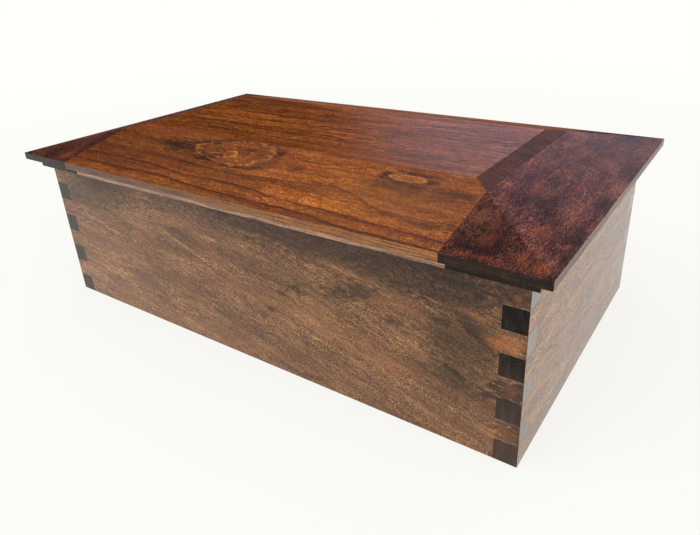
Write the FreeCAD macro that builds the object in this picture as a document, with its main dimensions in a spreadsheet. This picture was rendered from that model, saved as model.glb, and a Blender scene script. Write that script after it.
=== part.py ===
import FreeCAD, Part
import os
import re

import Sketcher

# A low wooden chest. The case is four boards joined by square fingers at the corners, with a
# bottom held in grooves. The lid is three boards glued edge to edge between two cross-grained
# ends on a blind tongue, rebated underneath and planed to four shallow slopes round a flat top.
# Two butt hinges with a built-in stop carry the lid on the back wall.
# Millimetres. +X runs to the right end, +Y to the back, +Z up. The origin is on the surface the
# chest stands on, under the middle of the lid.

SIZES = {
    # case
    "box_length": 542.0,
    "box_depth": 313.0,
    "board_thick": 19.0,
    "finger_height": 19.2,
    "finger_count": 8,
    "bottom_thick": 9.0,
    "bottom_lift": 5.0,
    "groove_depth": 8.0,
    "bottom_play": 0.5,
    # lid
    "lid_gap": 0.4,
    "front_overhang": 18.0,
    "side_overhang": 18.0,
    "rabbet_inset": 10.5,
    "rabbet_height": 9.2,
    "lid_edge": 7.0,
    "bevel_width": 92.0,
    "bevel_rise": 21.0,
    "end_width": 76.0,
    "seam_setback": 20.0,
    "tongue_length": 25.0,
    "tongue_thick": 12.0,
    "tongue_lift": 9.0,
    "tongue_shoulder": 40.0,
    "tongue_play": 1.0,
    # hinges
    "hinge_inset": 76.0,
    "leaf_length": 64.0,
    "leaf_seat": 14.0,
    "leaf_thick": 2.5,
    "leaf_proud": 0.4,
    "knuckle_radius": 3.0,
    "knuckle_count": 3,
    "knuckle_gap": 0.3,
    "open_angle": 95.0,
    "stop_play": 0.03,
    "pin_radius": 1.5,
    "pin_play": 0.05,
    "pin_head": 1.2,
    # hinge screws
    "screw_count": 3,
    "screw_margin": 9.0,
    "screw_length": 13.0,
    "screw_radius": 1.5,
    "screw_head_radius": 2.9,
    "screw_play": 0.1,
    "slot_width": 0.8,
    "slot_depth": 0.7,
}

# Sizes that follow from the ones above.
DERIVED = {
    # case: finger 1 stands on the ground, and the long walls are notched for fingers 1, 3, 5...
    "wall_height": "finger_count * finger_height",
    "inner_length": "box_length - 2 * board_thick",
    "inner_depth": "box_depth - 2 * board_thick",
    # the lid's rear rebate is flush with the back wall, where the hinges are let in
    "rear_overhang": "rabbet_inset",
    "lid_length": "box_length + 2 * side_overhang",
    "lid_depth": "box_depth + front_overhang + rear_overhang",
    "case_front": "front_overhang - lid_depth / 2",
    "case_back": "lid_depth / 2 - rear_overhang",
    "case_middle": "(case_front + case_back) / 2",
    "lid_bottom": "wall_height + lid_gap",
    # heights in the lid, from its underside
    "arris_height": "rabbet_height + lid_edge",
    "lid_thick": "arris_height + bevel_rise",
    # the line where the lid's boards meet its ends, and the two lines where they meet each other
    "joint_x": "lid_length / 2 - end_width",
    "seam_y": "lid_depth / 2 - bevel_width - seam_setback",
    "tongue_reach": "lid_depth / 2 - tongue_shoulder",
    # hinges: each leaf's back is tangent to the barrel, and its pin stands clear of the back wall.
    # A square heel on each knuckle meets the end of the other leaf at the open angle.
    "mortise_depth": "knuckle_radius - lid_gap / 2",
    "leaf_face": "knuckle_radius - leaf_thick",
    "leaf_end": "sqrt(2) * knuckle_radius * cos(135 - open_angle) + stop_play",
    "pin_offset": "leaf_end + leaf_proud",
    "pin_y": "case_back + pin_offset",
    "pin_z": "wall_height + lid_gap / 2",
    "hinge_x": "box_length / 2 - hinge_inset - leaf_length / 2",
    "knuckle_pitch": "leaf_length / knuckle_count",
    "screw_span": "leaf_length - 2 * screw_margin",
    "screw_y": "leaf_seat / 2",
    "pilot_radius": "screw_radius + screw_play / 2",
}

doc = FreeCAD.newDocument("Chest")


def make_sheet():
    """The spreadsheet of driving sizes, one named cell each."""
    sheet = doc.addObject("Spreadsheet::Sheet", "Sizes")
    for row, (name, size) in enumerate(SIZES.items(), start=1):
        sheet.set(f"A{row}", name)
        sheet.set(f"B{row}", str(size))
        sheet.setAlias(f"B{row}", name)
    doc.recompute()
    return sheet


sheet = make_sheet()


def formula(text):
    """Writes a formula in the sizes' own names as one that reads the sheet."""

    def swap(match):
        word = match.group(0)
        if word in DERIVED:
            return "(" + formula(DERIVED[word]) + ")"
        return "Sizes." + word if word in SIZES else word

    return re.sub(r"[a-z]+(?:_[a-z]+)*", swap, str(text))


def number(text):
    """The present value of a formula."""
    return float(sheet.evalExpression(formula(text)))


def new_body(name, **placement):
    """A body named after its piece. x, y and z place it, and turn is its angle about Z."""
    body = doc.addObject("PartDesign::Body", name)
    body.Label = name
    turn = placement.pop("turn", 0)
    body.Placement = FreeCAD.Placement(
        FreeCAD.Vector(), FreeCAD.Rotation(FreeCAD.Vector(0, 0, 1), turn)
    )
    for direction, text in placement.items():
        body.setExpression(f"Placement.Base.{direction}", formula(text))
    return body


def origin_feature(body, role):
    """A body's own origin plane or axis."""
    return next(feature for feature in body.Origin.OriginFeatures if feature.Role == role)


def new_sketch(body, name, plane, offset):
    """An empty sketch on one of the body's origin planes, lifted off it by offset."""
    sketch = body.newObject("Sketcher::SketchObject", f"{body.Name}_{name}")
    sketch.AttachmentSupport = [(origin_feature(body, plane), "")]
    sketch.MapMode = "FlatFace"
    sketch.setExpression("AttachmentOffset.Base.z", formula(offset))
    return sketch


def place_point(sketch, geometry, vertex, corner):
    """Ties a point of the sketch to two formulas, measured from the sketch's origin."""
    for kind, text in zip(("DistanceX", "DistanceY"), corner):
        index = sketch.addConstraint(
            Sketcher.Constraint(kind, -1, 1, geometry, vertex, number(text))
        )
        sketch.setExpression(f"Constraints[{index}]", formula(text))


def draw_outlines(body, name, plane, outlines, offset="0"):
    """A sketch of closed straight-sided outlines, each a list of (across, up) formulas."""
    sketch = new_sketch(body, name, plane, offset)
    for outline in outlines:
        points = [FreeCAD.Vector(number(across), number(up), 0) for across, up in outline]
        first = sketch.GeometryCount
        count = len(points)
        for side in range(count):
            sketch.addGeometry(Part.LineSegment(points[side], points[(side + 1) % count]), False)
        for side in range(count):
            following = first + (side + 1) % count
            sketch.addConstraint(
                Sketcher.Constraint("Coincident", first + side, 2, following, 1)
            )
            place_point(sketch, first + side, 1, outline[side])
    return sketch


def draw_circles(body, name, plane, centres, radius, offset="0"):
    """A sketch of equal circles."""
    sketch = new_sketch(body, name, plane, offset)
    for centre in centres:
        point = FreeCAD.Vector(number(centre[0]), number(centre[1]), 0)
        circle = sketch.addGeometry(
            Part.Circle(point, FreeCAD.Vector(0, 0, 1), number(radius)), False
        )
        place_point(sketch, circle, 3, centre)
        index = sketch.addConstraint(Sketcher.Constraint("Radius", circle, number(radius)))
        sketch.setExpression(f"Constraints[{index}]", formula(radius))
    return sketch


def rectangle(low, high):
    """The outline of a rectangle between two opposite corners."""
    return [low, (high[0], low[1]), high, (low[0], high[1])]


def add_pad(body, name, sketch, length, reverse=False, both_ways=False):
    """Pads a sketch along its normal, against it, or half each way."""
    pad = body.newObject("PartDesign::Pad", f"{body.Name}_{name}")
    pad.Profile = sketch
    pad.setExpression("Length", formula(length))
    pad.Reversed = reverse
    if both_ways:
        pad.SideType = "Symmetric"
    doc.recompute()
    return pad


def add_pocket(body, name, sketch, length, reverse=False, both_ways=False):
    """Cuts a sketch against its normal, along it when reversed, or half each way."""
    before = body.Shape.Volume
    pocket = body.newObject("PartDesign::Pocket", f"{body.Name}_{name}")
    pocket.Profile = sketch
    pocket.setExpression("Length", formula(length))
    pocket.Reversed = reverse
    if both_ways:
        pocket.SideType = "Symmetric"
    doc.recompute()
    if body.Shape.Volume >= before:
        raise RuntimeError(f"{pocket.Name} cuts nothing")
    return pocket


def repeat(body, name, feature, direction, spacing, occurrences):
    """Repeats a feature along one of the body's axes."""
    pattern = body.newObject("PartDesign::LinearPattern", f"{body.Name}_{name}")
    pattern.Originals = [feature]
    pattern.Direction = (origin_feature(body, direction), [""])
    pattern.Mode = "Spacing"
    pattern.setExpression("Offset", formula(spacing))
    pattern.setExpression("Occurrences", formula(occurrences))
    body.Tip = pattern
    doc.recompute()
    return pattern


# ---------------------------------------------------------------- case


def wall(name, length, first_notch, notches, **placement):
    """One wall: X along it, Y from its outer face inwards. Its fingers are what stays between
    the notches at each end, and the bottom's groove stops where the bottom's corner ends."""
    body = new_body(name, **placement)
    half = f"({length}) / 2"
    face = draw_outlines(
        body, "face", "XZ_Plane", [rectangle((f"-{half}", "0"), (half, "wall_height"))]
    )
    add_pad(body, "board", face, "board_thick", reverse=True)

    low = f"{first_notch} * finger_height"
    high = f"({first_notch} + 1) * finger_height"
    shoulder = f"{half} - board_thick"
    notch = draw_outlines(
        body,
        "notch",
        "XZ_Plane",
        [
            rectangle((f"-{half}", low), (f"-({shoulder})", high)),
            rectangle((shoulder, low), (half, high)),
        ],
    )
    cut = add_pocket(body, "notch_pair", notch, "board_thick", reverse=False)
    repeat(body, "notches", cut, "Z_Axis", "2 * finger_height", notches)

    reach = f"{half} - board_thick + groove_depth"
    groove = draw_outlines(
        body,
        "groove",
        "XY_Plane",
        [
            rectangle(
                (f"-({reach})", "board_thick - groove_depth"), (reach, "2 * board_thick")
            )
        ],
        offset="bottom_lift",
    )
    add_pocket(body, "bottom_groove", groove, "bottom_thick", reverse=True)
    return body


def let_in_hinges(body, face, inward, top, reverse):
    """Cuts both hinges' mortises, open at the board's outer face, and the screws' pilot holes.
    Inward is the side of that face on which the wood lies."""
    seats = [
        rectangle(
            (f"{side} * hinge_x - leaf_length / 2", f"{face} - leaf_seat"),
            (f"{side} * hinge_x + leaf_length / 2", f"{face} + leaf_seat"),
        )
        for side in (-1, 1)
    ]
    mortises = draw_outlines(body, "mortise", "XY_Plane", seats, offset=top)
    add_pocket(body, "hinge_mortises", mortises, "mortise_depth", reverse=reverse)

    count = int(number("screw_count"))
    centres = [
        (
            f"{side} * hinge_x + ({index} / ({count} - 1) - 0.5) * screw_span",
            f"{face} + {inward} * screw_y",
        )
        for side in (-1, 1)
        for index in range(count)
    ]
    pilots = draw_circles(body, "pilot", "XY_Plane", centres, "pilot_radius", offset=top)
    add_pocket(body, "pilot_holes", pilots, "mortise_depth + screw_length", reverse=reverse)


def back_wall():
    """The back wall is a long wall with the hinges let into its top edge."""
    body = wall(
        "back_wall", "box_length", "0", "ceil(finger_count / 2)", y="case_back", turn=180
    )
    let_in_hinges(body, "0", 1, "wall_height", reverse=False)
    return body


def bottom_panel():
    """The bottom floats in the walls' grooves."""
    body = new_body("bottom_panel", y="case_middle", z="bottom_lift")
    across = "inner_length / 2 + groove_depth - bottom_play"
    along = "inner_depth / 2 + groove_depth - bottom_play"
    plan = draw_outlines(
        body,
        "plan",
        "XY_Plane",
        [rectangle((f"-({across})", f"-({along})"), (across, along))],
    )
    add_pad(body, "panel", plan, "bottom_thick")
    return body


# ---------------------------------------------------------------- lid


def plane_slopes(body, name, plane, half_span, through):
    """Planes the two slopes that fall away along one direction of the lid."""
    slopes = [
        [
            (f"{side} * ({half_span} - bevel_width)", "lid_thick"),
            (f"{side} * {half_span}", "lid_thick"),
            (f"{side} * {half_span}", "arris_height"),
        ]
        for side in (-1, 1)
    ]
    sketch = draw_outlines(body, f"{name}_slope", plane, slopes)
    add_pocket(body, f"{name}_slopes", sketch, through, both_ways=True)


def cut_rebate(body, name, plane, half_span, sides, through):
    """Cuts the rebate under the lid's edge on the named sides of one direction."""
    steps = [
        rectangle(
            (f"{side} * ({half_span} - rabbet_inset)", "0"),
            (f"{side} * {half_span}", "rabbet_height"),
        )
        for side in sides
    ]
    sketch = draw_outlines(body, f"{name}_rebate", plane, steps)
    add_pocket(body, f"{name}_rebates", sketch, through, both_ways=True)


def lid_board(name, low, high, tongue_low, tongue_high, edge=None):
    """One long board of the lid, from y low to y high. The tongue on both ends is one slab
    through the board. An edge of -1 or 1 is the lid's front or back edge."""
    body = new_body(name, z="lid_bottom")
    blank = draw_outlines(
        body, "plan", "XY_Plane", [rectangle(("-joint_x", low), ("joint_x", high))]
    )
    add_pad(body, "blank", blank, "lid_thick")
    reach = "joint_x + tongue_length"
    tongue = draw_outlines(
        body,
        "tongue",
        "XY_Plane",
        [rectangle((f"-({reach})", tongue_low), (reach, tongue_high))],
        offset="tongue_lift",
    )
    add_pad(body, "tongues", tongue, "tongue_thick")
    plane_slopes(body, "end", "XZ_Plane", "lid_length / 2", "2 * lid_depth")
    if edge:
        plane_slopes(body, "side", "YZ_Plane", "lid_depth / 2", "2 * lid_length")
        cut_rebate(body, "side", "YZ_Plane", "lid_depth / 2", [edge], "2 * lid_length")
    return body


def lid_boards():
    """The front, middle and rear boards, with the hinges let into the rear one."""
    front = lid_board(
        "lid_front_board", "-lid_depth / 2", "-seam_y", "-tongue_reach", "-seam_y", edge=-1
    )
    middle = lid_board("lid_middle_board", "-seam_y", "seam_y", "-seam_y", "seam_y")
    rear = lid_board(
        "lid_rear_board", "seam_y", "lid_depth / 2", "seam_y", "tongue_reach", edge=1
    )
    let_in_hinges(rear, "case_back", -1, "0", reverse=True)
    return [front, middle, rear]


def lid_end(name, side):
    """A cross-grained end of the lid, with the blind groove that takes the boards' tongue."""
    body = new_body(name, z="lid_bottom")
    blank = draw_outlines(
        body,
        "plan",
        "XY_Plane",
        [
            rectangle(
                (f"{side} * joint_x", "-lid_depth / 2"),
                (f"{side} * lid_length / 2", "lid_depth / 2"),
            )
        ],
    )
    add_pad(body, "blank", blank, "lid_thick")
    groove = draw_outlines(
        body,
        "groove",
        "XY_Plane",
        [
            rectangle(
                (f"{side} * (joint_x - tongue_play)", "-(tongue_reach + tongue_play)"),
                (f"{side} * (joint_x + tongue_length + tongue_play)", "tongue_reach + tongue_play"),
            )
        ],
        offset="tongue_lift",
    )
    add_pocket(body, "tongue_groove", groove, "tongue_thick", reverse=True)
    plane_slopes(body, "end", "XZ_Plane", "lid_length / 2", "2 * lid_depth")
    plane_slopes(body, "side", "YZ_Plane", "lid_depth / 2", "2 * lid_length")
    cut_rebate(body, "end", "XZ_Plane", "lid_length / 2", [side], "2 * lid_depth")
    cut_rebate(body, "side", "YZ_Plane", "lid_depth / 2", [-1, 1], "2 * lid_length")
    return body


# ---------------------------------------------------------------- hinges


def hinge_leaf(name, side, upper):
    """One leaf. Its frame has X along the pin, Y to the back and Z up, from the pin's middle.
    The lower leaf keeps the odd knuckles and the upper one the even ones."""
    body = new_body(name, x=f"{side} * hinge_x", y="pin_y", z="pin_z")
    up = 1 if upper else -1
    plate = draw_outlines(
        body,
        "section",
        "YZ_Plane",
        [
            rectangle(
                ("-(pin_offset + leaf_seat)", f"{up} * leaf_face"), ("0", f"{up} * knuckle_radius")
            )
        ],
    )
    add_pad(body, "plate", plate, "leaf_length", both_ways=True)
    barrel = draw_circles(body, "barrel", "YZ_Plane", [("0", "0")], "knuckle_radius")
    add_pad(body, "knuckles", barrel, "leaf_length", both_ways=True)
    heel = draw_outlines(
        body,
        "heel",
        "YZ_Plane",
        [rectangle(("0", "0"), ("knuckle_radius", f"-{up} * knuckle_radius"))],
    )
    add_pad(body, "heels", heel, "leaf_length", both_ways=True)

    taken = [index for index in range(int(number("knuckle_count"))) if index % 2 == upper]
    gaps = [
        rectangle(
            (f"{index} * knuckle_pitch - (leaf_length + knuckle_gap) / 2", "-leaf_end"),
            (f"({index} + 1) * knuckle_pitch - (leaf_length - knuckle_gap) / 2", "leaf_length"),
        )
        for index in range(int(number("knuckle_count")))
        if index not in taken
    ]
    openings = draw_outlines(body, "gap", "XY_Plane", gaps)
    add_pocket(body, "knuckle_gaps", openings, "4 * knuckle_radius", both_ways=True)

    bore_radius = "pin_radius + pin_play" if upper else "pin_radius"
    bore = draw_circles(body, "bore", "YZ_Plane", [("0", "0")], bore_radius)
    add_pocket(body, "pin_bore", bore, "2 * leaf_length", both_ways=True)

    count = int(number("screw_count"))
    centres = [
        (f"({index} / ({count} - 1) - 0.5) * screw_span", "-(pin_offset + screw_y)")
        for index in range(count)
    ]
    drill = draw_circles(
        body, "drill", "XY_Plane", centres, "screw_radius", offset=f"{up} * leaf_face"
    )
    hole = body.newObject("PartDesign::Hole", f"{body.Name}_screw_holes")
    hole.Profile = drill
    doc.recompute()
    hole.ThreadType = "None"
    hole.DepthType = "ThroughAll"
    hole.Reversed = upper
    hole.HoleCutType = "Countersink"
    hole.HoleCutCustomValues = True
    hole.HoleCutCountersinkAngle = 90
    hole.setExpression("Diameter", formula("2 * (screw_radius + screw_play)"))
    hole.setExpression("HoleCutDiameter", formula("2 * screw_head_radius"))
    doc.recompute()
    return body


def hinge_pin(name, side):
    """A turned pin with a head at each end of the barrel."""
    body = new_body(name, x=f"{side} * hinge_x", y="pin_y", z="pin_z")
    shoulder = "leaf_length / 2"
    end = f"{shoulder} + pin_head"
    head = "knuckle_radius"
    profile = draw_outlines(
        body,
        "profile",
        "XZ_Plane",
        [
            [
                (f"-({end})", "0"),
                (f"-({end})", head),
                (f"-({shoulder})", head),
                (f"-({shoulder})", "pin_radius"),
                (shoulder, "pin_radius"),
                (shoulder, head),
                (end, head),
                (end, "0"),
            ]
        ],
    )
    turned = body.newObject("PartDesign::Revolution", f"{body.Name}_turned")
    turned.Profile = profile
    turned.ReferenceAxis = (profile, ["H_Axis"])
    turned.Angle = 360
    doc.recompute()
    return body


def leaf_screws(name, upper):
    """The slotted countersunk screws of two like leaves, as separate solids in one piece."""
    up = 1 if upper else -1
    body = new_body(
        name, x="-hinge_x - screw_span / 2", y="case_back - screw_y", z=f"pin_z + {up} * leaf_face"
    )
    profile = draw_outlines(
        body,
        "profile",
        "XZ_Plane",
        [
            [
                ("0", "0"),
                ("screw_head_radius", "0"),
                ("screw_radius", f"{up} * (screw_head_radius - screw_radius)"),
                ("screw_radius", f"{up} * screw_length"),
                ("0", f"{up} * screw_length"),
            ]
        ],
    )
    turned = body.newObject("PartDesign::Revolution", f"{body.Name}_turned")
    turned.Profile = profile
    turned.ReferenceAxis = (profile, ["V_Axis"])
    turned.Angle = 360
    doc.recompute()
    slot = draw_outlines(
        body,
        "slot",
        "XY_Plane",
        [
            rectangle(
                ("-2 * screw_head_radius", "-slot_width / 2"),
                ("2 * screw_head_radius", "slot_width / 2"),
            )
        ],
    )
    cut = add_pocket(body, "slot_cut", slot, "slot_depth", reverse=upper)

    spread = body.newObject("PartDesign::MultiTransform", f"{body.Name}_spread")
    spread.Originals = [turned, cut]
    rows = []
    for step, spacing, occurrences in (
        ("leaf", "screw_span / (screw_count - 1)", "screw_count"),
        ("hinges", "2 * hinge_x", "2"),
    ):
        row = body.newObject("PartDesign::LinearPattern", f"{body.Name}_{step}")
        row.Direction = (origin_feature(body, "X_Axis"), [""])
        row.Mode = "Spacing"
        row.setExpression("Offset", formula(spacing))
        row.setExpression("Occurrences", formula(occurrences))
        rows.append(row)
    spread.Transformations = rows
    body.Tip = spread
    doc.recompute()
    return body


def build():
    """Every piece of the chest, in the order it is put together."""
    pieces = [
        wall("front_wall", "box_length", "0", "ceil(finger_count / 2)", y="case_front"),
        back_wall(),
        wall(
            "left_wall",
            "box_depth",
            "1",
            "floor(finger_count / 2)",
            x="-box_length / 2",
            y="case_middle",
            turn=-90,
        ),
        wall(
            "right_wall",
            "box_depth",
            "1",
            "floor(finger_count / 2)",
            x="box_length / 2",
            y="case_middle",
            turn=90,
        ),
        bottom_panel(),
    ]
    pieces += lid_boards()
    pieces += [lid_end("lid_left_end", -1), lid_end("lid_right_end", 1)]
    for name, side in (("left_hinge", -1), ("right_hinge", 1)):
        pieces.append(hinge_leaf(f"{name}_wall_leaf", side, upper=False))
        pieces.append(hinge_leaf(f"{name}_lid_leaf", side, upper=True))
        pieces.append(hinge_pin(f"{name}_pin", side))
    pieces.append(leaf_screws("wall_leaf_screws", upper=False))
    pieces.append(leaf_screws("lid_leaf_screws", upper=True))
    return pieces


def check(pieces):
    """Stops if any feature failed or any piece is empty or broken."""
    for thing in doc.Objects:
        if "Invalid" in thing.State or "Error" in thing.State:
            raise RuntimeError(f"{thing.Name} failed: {thing.State}")
    for piece in pieces:
        if piece.Shape.isNull() or not piece.Shape.isValid() or not piece.Shape.Solids:
            raise RuntimeError(f"{piece.Label} has no valid solid")


def export(pieces):
    """Writes one STEP file for each piece and prints its size."""
    os.makedirs("parts", exist_ok=True)
    for piece in pieces:
        piece.Shape.exportStep(f"parts/{piece.Label}.step")
        box = piece.Shape.BoundBox
        print(
            f"{piece.Label:24s} {len(piece.Shape.Solids):2d} solid(s)"
            f" {box.XLength:7.2f} x {box.YLength:7.2f} x {box.ZLength:7.2f}"
            f" volume {piece.Shape.Volume:12.1f}"
        )


chest = build()
doc.recompute()
check(chest)
export(chest)
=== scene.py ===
"""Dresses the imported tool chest: its woods, its brass, and the studio that it stands in.

Blender lengths are in metres. Places and sizes inside a wood's figure are in millimetres, in the
frame of the chest: X runs along it, Y from its front to its back, Z up from the ground.
"""

import logging
import math
from dataclasses import dataclass, field, replace
from enum import Enum
from functools import cached_property
from typing import Iterable, Optional, Union

import bmesh
import bpy
from mathutils import Matrix, Vector

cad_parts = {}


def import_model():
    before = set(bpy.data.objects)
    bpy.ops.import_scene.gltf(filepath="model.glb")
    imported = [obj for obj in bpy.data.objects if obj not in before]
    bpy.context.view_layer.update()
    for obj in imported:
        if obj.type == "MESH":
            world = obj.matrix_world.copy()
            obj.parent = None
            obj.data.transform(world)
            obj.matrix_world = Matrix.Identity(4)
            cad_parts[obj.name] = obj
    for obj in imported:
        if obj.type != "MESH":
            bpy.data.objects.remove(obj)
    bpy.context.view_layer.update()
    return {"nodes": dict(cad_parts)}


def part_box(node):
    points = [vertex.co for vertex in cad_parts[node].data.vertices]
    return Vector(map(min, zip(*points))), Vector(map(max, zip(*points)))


LOG = logging.getLogger("tool_chest")
MILLIMETRES = 1000.0

Point = tuple[float, float]
Colour = tuple[float, float, float, float]

BLACK: Colour = (0.0, 0.0, 0.0, 1.0)

# Blender's noise stays near its mean of 0.5. This factor spreads it from about -1 to 1.
NOISE_MEAN = 0.5
NOISE_SPREAD = 5.0

# The sockets of a Mix node that mixes colours.
MIX_SHARE, MIX_UNDER, MIX_OVER = 0, 6, 7
MIX_RESULT = 2

# A curve's least rise, which keeps a level one from a division by 0.
LEAST_RISE = 1e-6

# How bright the wood stays under a dark patch of strength 1.
DARKEST_PATCH = 0.05

# How far a face's normal leans to an axis, from where the face starts to count until it counts in
# full: as a slope that cuts across the grain, as cut square across it, and as turned to the back
# or the left.
SLOPED: Point = (0.05, 0.2)
CUT_ACROSS: Point = (0.6, 0.85)
FAR_SIDE: Point = (0.1, 0.2)

# The wood's tone where no figure darkens or pales it, and the share of its curl in small waves.
MEAN_TONE = 0.52
RIPPLE_SHARE = 0.3

# Growth rings: how many in a row are alike, how sharply each darkens to its end, and over what
# length in millimetres and over how many rings they fade.
RINGS_ALIKE = 5.0
RING_SHARPNESS = 3.0
RING_FADE_LENGTH = 120.0
RING_FADE_COUNT = 4.0

# The rays next to the pores: how much longer and wider they are, and the share of each.
RAY_LENGTH = 6.0
RAY_WIDTH = 2.0
PORE_SHARE = 0.95
RAY_SHARE = 0.25

# How far the hue's noise has to drift for a full tint.
HUE_REACH = 1.4

# The runs of noise over which rings fade in, fine figure strengthens, and lines, halos, rims and
# the creases' wear and painted highlight break off.
RING_FADE_RUN: Point = (-0.8, 0.9)
UNEVEN_RUN: Point = (-1.3, 1.3)
LINE_BREAK_RUN: Point = (-1.8, 0.0)
HALO_BREAK_RUN: Point = (-1.2, 0.4)
RIM_BREAK_RUN: Point = (-1.6, 0.6)
RUB_AND_HIGHLIGHT_BREAK_RUN: Point = (-1.2, 0.8)

# How strongly two noises vary a colour: flecks and bands a slope's, flecks and layers a narrow
# side's, and specks and blots the end grain's, which starts from its base.
SLOPE_VARY: Point = (0.9, 0.8)
SIDE_VARY: Point = (0.35, 0.7)
END_VARY: Point = (0.2, 0.16)
END_BASE = 0.04

# How bright a glow is in the darkest figure, and how much brighter in the palest.
GLOW_BASE = 0.55
GLOW_RISE = 0.9

# A knot, in shares of its half size: where its halo rises outside and inside the rim, where its
# heart fills, the place and strength of its faint inner ring, and a tapered one's least width.
HALO_OUTSIDE: Point = (1.75, 1.05)
HALO_INSIDE: Point = (0.85, 1.05)
KNOT_HEART: Point = (1.0, 0.8)
INNER_RING = 0.64
INNER_RING_STRENGTH = 0.25
LEAST_TAPER = 0.3

# Half the height in millimetres over which the lid's edge changes colour at its ledge.
LEDGE_BLUR = 0.3

# The run along the chest in which the lid's edge turns dull, and the one down it in which the
# end grain fades.
DULL_EDGE_RUN: Point = (120.0, -140.0)
END_FADE_RUN: Point = (133.0, -2.0)


def screen_colour(red: int, green: int, blue: int) -> Colour:
    """Gives the linear colour that Blender wants for a colour as a screen shows it.

    Args:
        red: Red, 0 to 255.
        green: Green, 0 to 255.
        blue: Blue, 0 to 255.

    Returns:
        The linear red, green, blue and an alpha of 1.
    """
    def linear(level: int) -> float:
        """Undoes the screen's curve for one channel."""
        share = level / 255
        return share / 12.92 if share <= 0.04045 else ((share + 0.055) / 1.055) ** 2.4

    return (linear(red), linear(green), linear(blue), 1.0)


# ---------------------------------------------------------------- shader nodes in short calls


class Signal:
    """A number that varies over a surface. Arithmetic on it adds the nodes that work it out."""

    def __init__(self, bench: "Bench", socket: bpy.types.NodeSocket) -> None:
        """Keeps the bench and the socket that gives the number."""
        self.bench = bench
        self.socket = socket

    def math(self, operation: str, *others: "Number", clamp: bool = False) -> "Signal":
        """Adds one Math node whose first input is this signal.

        Args:
            operation: The Math node's operation.
            others: The node's other inputs, in order.
            clamp: True to keep the result within 0 and 1.

        Returns:
            The node's result.
        """
        return self.bench.math(operation, self, *others, clamp=clamp)

    def __add__(self, other: "Number") -> "Signal":
        """This plus other."""
        return self.math("ADD", other)

    def __sub__(self, other: "Number") -> "Signal":
        """This less other."""
        return self.math("SUBTRACT", other)

    def __rsub__(self, other: "Number") -> "Signal":
        """The other less this."""
        return self.bench.math("SUBTRACT", other, self)

    def __mul__(self, other: "Number") -> "Signal":
        """This times other."""
        return self.math("MULTIPLY", other)

    def __truediv__(self, other: "Number") -> "Signal":
        """This over other."""
        return self.math("DIVIDE", other)

    def __pow__(self, other: "Number") -> "Signal":
        """This to the power of other."""
        return self.math("POWER", other)

    def __abs__(self) -> "Signal":
        """This without its sign."""
        return self.math("ABSOLUTE")

    def clamped(self) -> "Signal":
        """This kept within 0 and 1."""
        return self.math("ADD", 0.0, clamp=True)

    def most(self, other: "Number") -> "Signal":
        """The greater of this and other."""
        return self.math("MAXIMUM", other)

    def fraction(self) -> "Signal":
        """What is left of this past its whole number."""
        return self.math("FRACT")

    def step(self, start: float, end: float) -> "Signal":
        """Rises smoothly from 0 where this is start to 1 where it is end.

        Args:
            start: The value that gives 0.
            end: The value that gives 1, which may be the lower of the two.

        Returns:
            The smooth step.
        """
        node = self.bench.node("ShaderNodeMapRange", interpolation_type="SMOOTHSTEP")
        self.bench.feed(node.inputs["Value"], self)
        node.inputs["From Min"].default_value = start
        node.inputs["From Max"].default_value = end
        return Signal(self.bench, node.outputs["Result"])


Number = Union[Signal, float]
Tint = Union[bpy.types.NodeSocket, Colour]


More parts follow.
